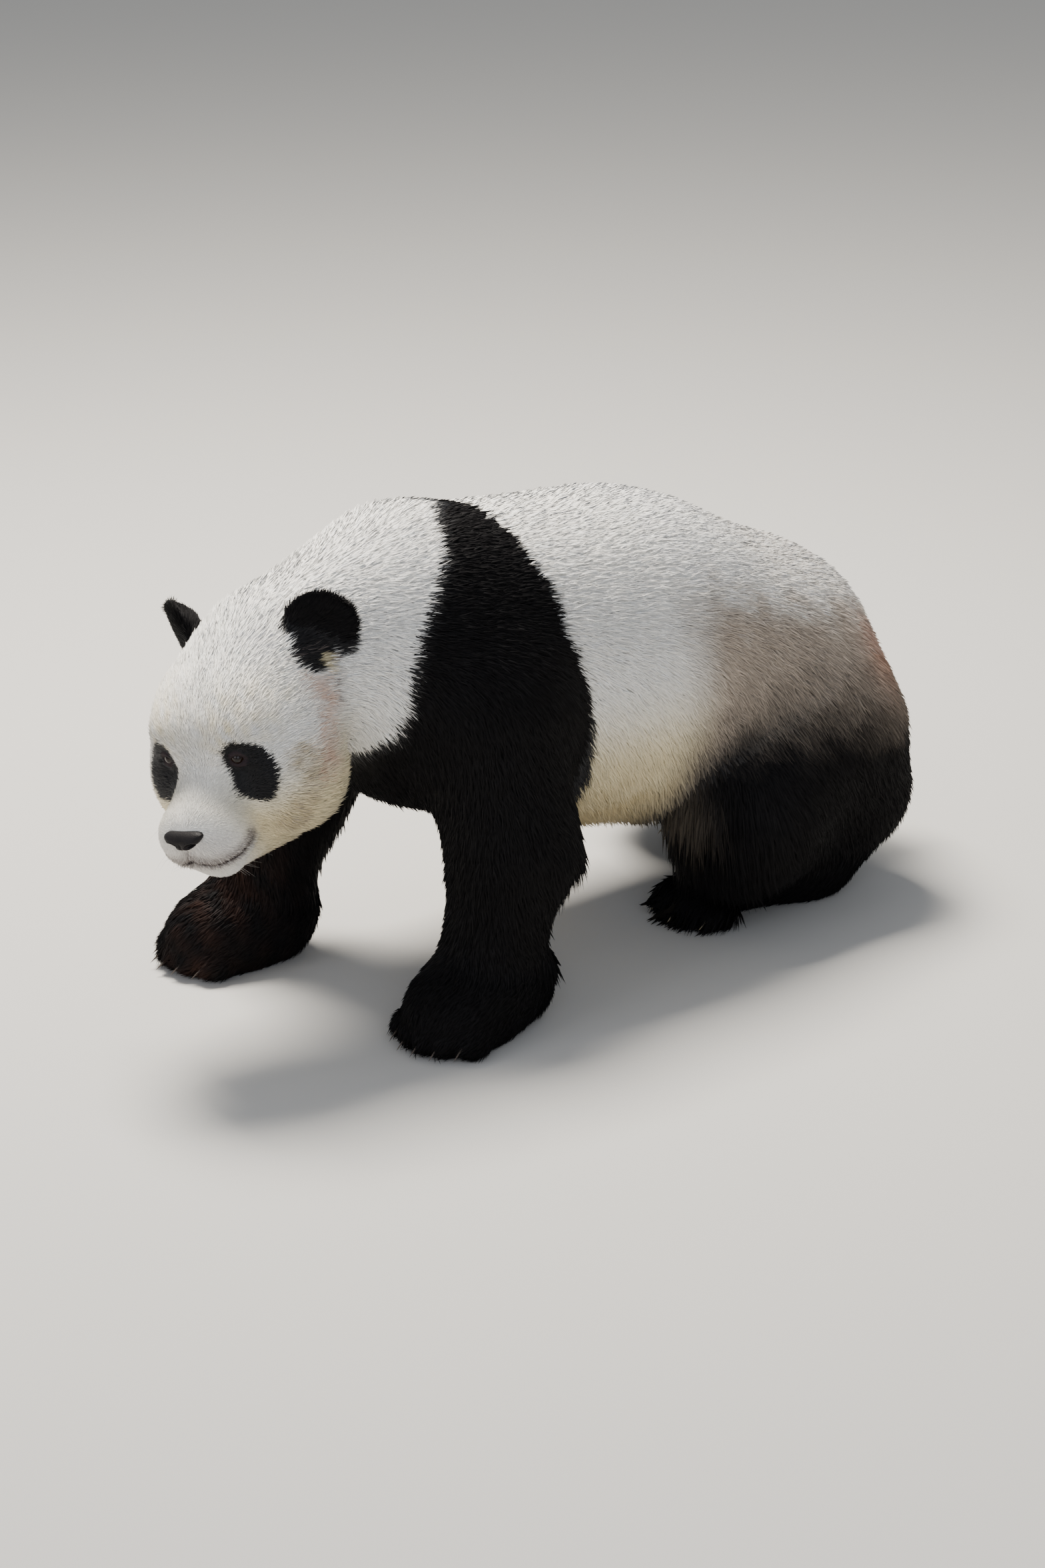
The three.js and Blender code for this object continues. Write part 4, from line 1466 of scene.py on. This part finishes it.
@dataclass
class NosePad:
    """The bare pad of the nose, with two comma-shaped nostrils and a middle groove."""

    shape: HeadShape
    rows: int = 72
    cols: int = 120
    half: tuple = (44 * MM, 16 * MM, 13.5 * MM)

    def build(self, shift: Array) -> bpy.types.Object:
        """The pad: an egg squared off, its width growing from 0.24 of the full one at the
        bottom to all of it at the top, pushed in at the nostrils.

        Args:
            shift: from the body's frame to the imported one.

        Returns:
            The pad.
        """
        a = np.linspace(0, np.pi, self.rows)[:, None]
        t = np.linspace(0, 2 * np.pi, self.cols, endpoint=False)[None]
        u, v, w = np.sin(a) * np.cos(t), -np.cos(a) + 0 * t, np.sin(a) * np.sin(t)
        u, w = np.sign(u) * np.abs(u) ** 0.7, np.sign(w) * np.abs(w) ** 0.9
        x = self.half[0] * u * (0.62 + 0.38 * w)
        z = self.half[2] * w
        y = self.half[1] * v
        front = v < 0
        side = np.abs(x) - 14.5 * MM
        dip = (side * 0.8 + (z + 2 * MM) * 0.45) / (6.2 * MM), (z + 2 * MM - side * 0.35) / (3.6 * MM)
        pit = np.exp(-((dip[0] ** 2 + dip[1] ** 2) ** 1.5))
        tail = np.exp(-(((side - 6 * MM) / (6 * MM)) ** 2 + ((z + 4.5 * MM) / (1.7 * MM)) ** 2))
        groove = np.exp(-((x / (1.3 * MM)) ** 2)) * ramp(6 * MM, -2 * MM, z)
        rim = np.exp(-((np.hypot(dip[0], dip[1]) - 1.55) / 0.4) ** 2)
        push = 8.5 * MM * pit + 3.0 * MM * tail + 1.7 * MM * groove - 0.9 * MM * rim
        y = y + np.where(front, push, 0)
        q = vec(*self.shape.nose_at) + np.stack([x, y, z - 1 * MM], -1).reshape(-1, 3)
        return closed_piece("nose_pad", self.shape.to_body(q) + shift, grid_faces(self.rows, self.cols))


@dataclass
class Claws:
    """The five claws of a paw: curved horns, flattened at the sides."""

    length: float
    dark: str
    pale: str
    radius: float = 4.4 * MM
    droop: float = 0.40
    rows: int = 14
    cols: int = 12

    def build(self, leg: Leg, name: str, shift: Array) -> bpy.types.Object:
        """Claws whose middle line drops with the square of the way along it.

        The radius shrinks as the root of the way left, so the tip is blunt.

        Args:
            leg: the leg that they grow from.
            name: the piece's name.
            shift: from the body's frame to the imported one.

        Returns:
            All five claws as one piece.
        """
        t = np.linspace(0, 1, self.rows)[:, None]
        a = np.linspace(0, 2 * np.pi, self.cols, endpoint=False)[None]
        reach = self.length + leg.toe_radius * MM
        r = self.radius * (1 - t) ** 0.55 * (1 - 0.25 * t)
        x = 0.72 * r * np.cos(a)
        y = -reach * t + 0 * a
        z = -reach * self.droop * t ** 2 + r * np.sin(a) * (1 + 0.15 * np.sin(a))
        cap = np.array([[0.0, 2 * MM, 0.0]])
        claw = np.concatenate([np.stack([x, y, z], -1).reshape(-1, 3), cap])
        quads = grid_faces(self.rows, self.cols)
        last = len(claw) - 1
        k = np.arange(self.cols)
        base = np.stack([(k + 1) % self.cols, k, np.full(self.cols, last), np.full(self.cols, last)], 1)
        turn = turning(leg.toe_out, 0, 0)
        verts, faces, tint = [], [], []
        for i, c in enumerate(leg.toe_centres()):
            verts.append(claw @ turn.T + c + vec(0, 0, 4) + shift)
            faces.append(np.concatenate([quads, base]) + i * len(claw))
            dark, pale = srgb(self.dark), srgb(self.pale)
            share = np.append((t + 0 * a).ravel(), 0)[:, None]
            tint.append(dark + (pale - dark) * ramp(0.35, 0.9, share))
        every = np.concatenate(faces)
        verts = np.concatenate(verts)
        tri = np.concatenate([every[:, :3], every[:, [0, 2, 3]]])
        tri = tri[(tri[:, 0] != tri[:, 1]) & (tri[:, 1] != tri[:, 2]) & (tri[:, 0] != tri[:, 2])]
        return closed_piece(name, verts, tri, np.concatenate(tint))


@dataclass
class Whiskers:
    """Stiff pale hairs beside the nose and under the chin."""

    body: BodyShape
    skin: Skin
    seed: int = 5
    count: int = 24
    rows: int = 9
    thick: float = 0.2 * MM
    colour: str = "#E8E2D6"

    def build(self, shift: Array) -> bpy.types.Object:
        """Whiskers: three-sided rods along parabolas, thinning to the tip.

        Args:
            shift: from the body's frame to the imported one.

        Returns:
            All whiskers as one piece.
        """
        rng = np.random.default_rng(self.seed)
        h = self.body.head
        s = np.where(np.arange(self.count) % 2 == 0, 1, -1)
        q = np.stack([s * rng.uniform(0.026, 0.046, self.count),
                      rng.uniform(-0.192, -0.150, self.count),
                      rng.uniform(-0.088, -0.052, self.count)], 1)
        chin = rng.uniform(size=self.count) < 0.3
        q[chin] += np.array([0, 0.012, -0.035])
        root = settle(self.skin.field, h.to_body(q), 8)
        out = unit(np.stack([s * 1.0, rng.uniform(-0.35, 0.35, self.count),
                             rng.uniform(-0.75, 0.05, self.count)], 1)) @ h.axes.T
        length = rng.uniform(0.020, 0.055, self.count)[:, None, None]
        t = np.linspace(0, 1, self.rows)[None, :, None]
        sag = np.array([0, 0.25, -0.35])
        line = root[:, None] - 2 * MM * out[:, None] + length * (t * out[:, None] + 0.5 * t ** 2 * sag)
        b = unit(np.cross(out, [0.2, 0.3, 0.9]))[:, None]
        c = np.cross(out[:, None], b)
        r = self.thick * (1 - 0.85 * t)
        ring = [line + r * (np.cos(a) * b + np.sin(a) * c) for a in (0, 2 * np.pi / 3, 4 * np.pi / 3)]
        verts = np.stack(ring, 2).reshape(-1, 3)
        one = grid_faces(self.rows, 3)
        tri = np.concatenate([one[:, :3], one[:, [0, 2, 3]],
                              [[0, 2, 1], [3 * self.rows - 3, 3 * self.rows - 2, 3 * self.rows - 1]]])
        faces = np.concatenate([tri + 3 * self.rows * i for i in range(self.count)])
        return closed_piece("whiskers", verts + shift, faces,
                            np.tile(srgb(self.colour), (len(verts), 1)))


# ------------------------------------------------------------------ studio
@dataclass(frozen=True)
class Studio:
    """Floor, lights and camera: lens and sensor in millimetres, the rest in metres."""

    target: tuple = (0.0811, -0.0772, 0.29)
    azimuth: float = 50 * DEG
    height: float = 21 * DEG
    distance: float = 6.0
    sensor: float = 36.0
    lens: float = 93.9489795918
    floor: float = 40.0
    floor_tone: str = "#C9C7C2"
    sky_tone: str = "#E6EAF0"
    sky_power: float = 0.50
    lamps: tuple = (("key", (-1.5, 0.2, 4.2), 1.6, 540, "#FFF8EE"),
                    ("fill", (3.8, -2.4, 2.6), 3.2, 55, "#E6EEFF"),
                    ("front", (0.0, -4.6, 2.2), 2.6, 42, "#F4F6FF"))

    def camera(self, shift: Array) -> None:
        """A camera on a sphere about the target, looking at it.

        Args:
            shift: from the body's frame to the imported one.
        """
        target = Vector(np.array(self.target) + shift)
        back = Vector((np.sin(self.azimuth) * np.cos(self.height),
                       -np.cos(self.azimuth) * np.cos(self.height), np.sin(self.height)))
        data = bpy.data.cameras.new("camera")
        data.sensor_fit = "AUTO"
        data.sensor_width = self.sensor
        data.lens = self.lens
        camera = bpy.data.objects.new("camera", data)
        camera.location = target + back * self.distance
        camera.rotation_euler = (-back).to_track_quat("-Z", "Y").to_euler()
        bpy.context.scene.collection.objects.link(camera)
        bpy.context.scene.camera = camera

    def lamp(self, name: str, place: tuple, size: float, power: float, tint: str) -> None:
        """A square soft light that faces the animal.

        Args:
            name: the light's name.
            place: where it hangs.
            size: its side, metres.
            power: watts.
            tint: sRGB colour.
        """
        data = bpy.data.lights.new(name, "AREA")
        data.size, data.energy, data.color = size, power, srgb(tint)
        light = bpy.data.objects.new(name, data)
        light.location = place
        light.rotation_euler = (Vector(place) - Vector((0, 0, 0.35))).to_track_quat("Z", "Y").to_euler()
        bpy.context.scene.collection.objects.link(light)

    def build(self, shift: Array) -> None:
        """Sets up the floor, three soft lights, a pale surround and the camera.

        Args:
            shift: from the body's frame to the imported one.
        """
        half = self.floor / 2
        corner = np.array([[-half, -half, 0], [half, -half, 0], [half, half, 0], [-half, half, 0]])
        floor = new_piece("floor", corner, np.array([[0, 1, 2, 3]]), smooth=False)
        paint, _, _ = new_material("matt floor paint", {
            "Base Color": (*srgb(self.floor_tone), 1), "Roughness": 0.9})
        floor.data.materials.append(paint)
        for lamp in self.lamps:
            self.lamp(*lamp)
        world = bpy.data.worlds.new("surround")
        world.use_nodes = True
        sky = world.node_tree.nodes["Background"].inputs
        sky["Color"].default_value = (*srgb(self.sky_tone), 1)
        sky["Strength"].default_value = self.sky_power
        bpy.context.scene.world = world
        self.camera(shift)


FLESH = tuple(
    ["head", "neck", "shoulders", "trunk", "rump", "tail"]
    + [f"{part}_{side}" for side, _ in SIDES
       for part in ("ear", "upper_arm", "forearm", "forepaw", "thigh", "shank", "hindfoot")])


def finish_piece(obj: bpy.types.Object, mat: bpy.types.Material,
                 stands_for: Iterable[str] = ()) -> None:
    """Gives a piece its material and body, and reports it.

    Args:
        obj: the piece.
        mat: its material.
        stands_for: CAD nodes that it replaces.
    """
    obj.data.materials.clear()
    obj.data.materials.append(mat)
    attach(obj, "root")
    if stands_for:
        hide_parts(*stands_for)
    LOG.info("%s: %d faces", obj.name, len(obj.data.polygons))


def main() -> None:
    """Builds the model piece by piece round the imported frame."""
    logging.basicConfig(level=logging.INFO, format="%(message)s")
    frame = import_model()
    LOG.info("packed nodes: %d", len(frame["nodes"]))
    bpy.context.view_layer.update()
    body = BodyShape()
    face = Face(body.head)
    coat = Coat(body, face)
    skin = Skin(body, face, coat)
    pelt = Pelt(skin, coat)

    middle = np.mean([(np.array(lo) + np.array(hi)) / 2
                      for lo, hi in (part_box("eye_left"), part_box("eye_right"))], 0)
    own = body.head.to_body(np.array([face.eye_centre(s) for _, s in SIDES])).mean(0)
    shift = middle - own

    face.mouth = body.head.to_head(settle(
        lambda p: body.outline(body.parts(p)) + 3 * MM, body.head.to_body(face.mouth), 6))

    hide = skin.build()
    pale = HairFinish("white guard hair", roughness=0.65, gloss=0.3).material()
    dark = HairFinish("black guard hair", roughness=0.75, gloss=0.14, sheen=0.0).material()
    under = HairFinish("haired skin", roughness=0.85, gloss=0.15, sheen=0.0, strand=2 * MM,
                       contrast=0.12, relief=0.8 * MM).material()
    pieces = pelt.build(hide, shift)
    for piece, patch in zip(pieces, pelt.patches):
        finish_piece(piece, dark if patch.slot == "black_coat" else pale)

    co = places(hide.data)
    at = body.parts(co)
    # Painted shade: the skin under the locks is painted 15 % darker than the coat over it.
    tone = coat.colour(at, np.random.default_rng(2), 0.0) * 0.85
    tone = mixed(tone, Hue.LIP, ramp(7.0 * MM, 3.6 * MM, face.mouth_distance(at.q)))
    for _, s in SIDES:
        far, gap = face.lids(at.q, s)
        tone = mixed(tone, Hue.LIP, ramp(24 * MM, 16 * MM, far) * ramp(5 * MM, 2 * MM, gap))
    tone = mixed(tone, Hue.PAD, ramp(4 * MM, 2 * MM, co[:, 2]))
    put_colours(hide, tone)
    hide.data.vertices.foreach_set("co", (co + shift).ravel())
    hide.data.update()
    finish_piece(hide, under, FLESH)

    eye = GlossFinish("cornea over iris", 0.07, 1.376, contrast=0.2).material()
    eyes = Eyes(face)
    for side, s in SIDES:
        finish_piece(eyes.build(s, f"eyeball_{side}", shift), eye, [f"eye_{side}"])
    finish_piece(NosePad(body.head).build(shift),
                 LeatherFinish().material(), ["nose"])
    horn = GlossFinish("claw horn", 0.36, 1.55, grain=1.2 * MM, contrast=0.18,
                       stretch=(1, 0.25, 1)).material()
    kinds = (("fore", body.foreleg, Claws(22 * MM, "#17120F", "#4E443B")),
             ("hind", body.hindleg, Claws(25 * MM, "#2C241D", "#A89A7C", 5.2 * MM)))
    for kind, legs, kit in kinds:
        for side, s in SIDES:
            claws = kit.build(legs[s], f"{kind}_claws_{side}", shift)
            finish_piece(claws, horn,
                         [f"{kind}_claw_{side}_{i}" for i in range(1, 6)])
    finish_piece(Whiskers(body, skin).build(shift),
                 GlossFinish("whisker", 0.4, 1.55).material())

    Studio().build(shift)


if __name__ == "__main__":
    main()
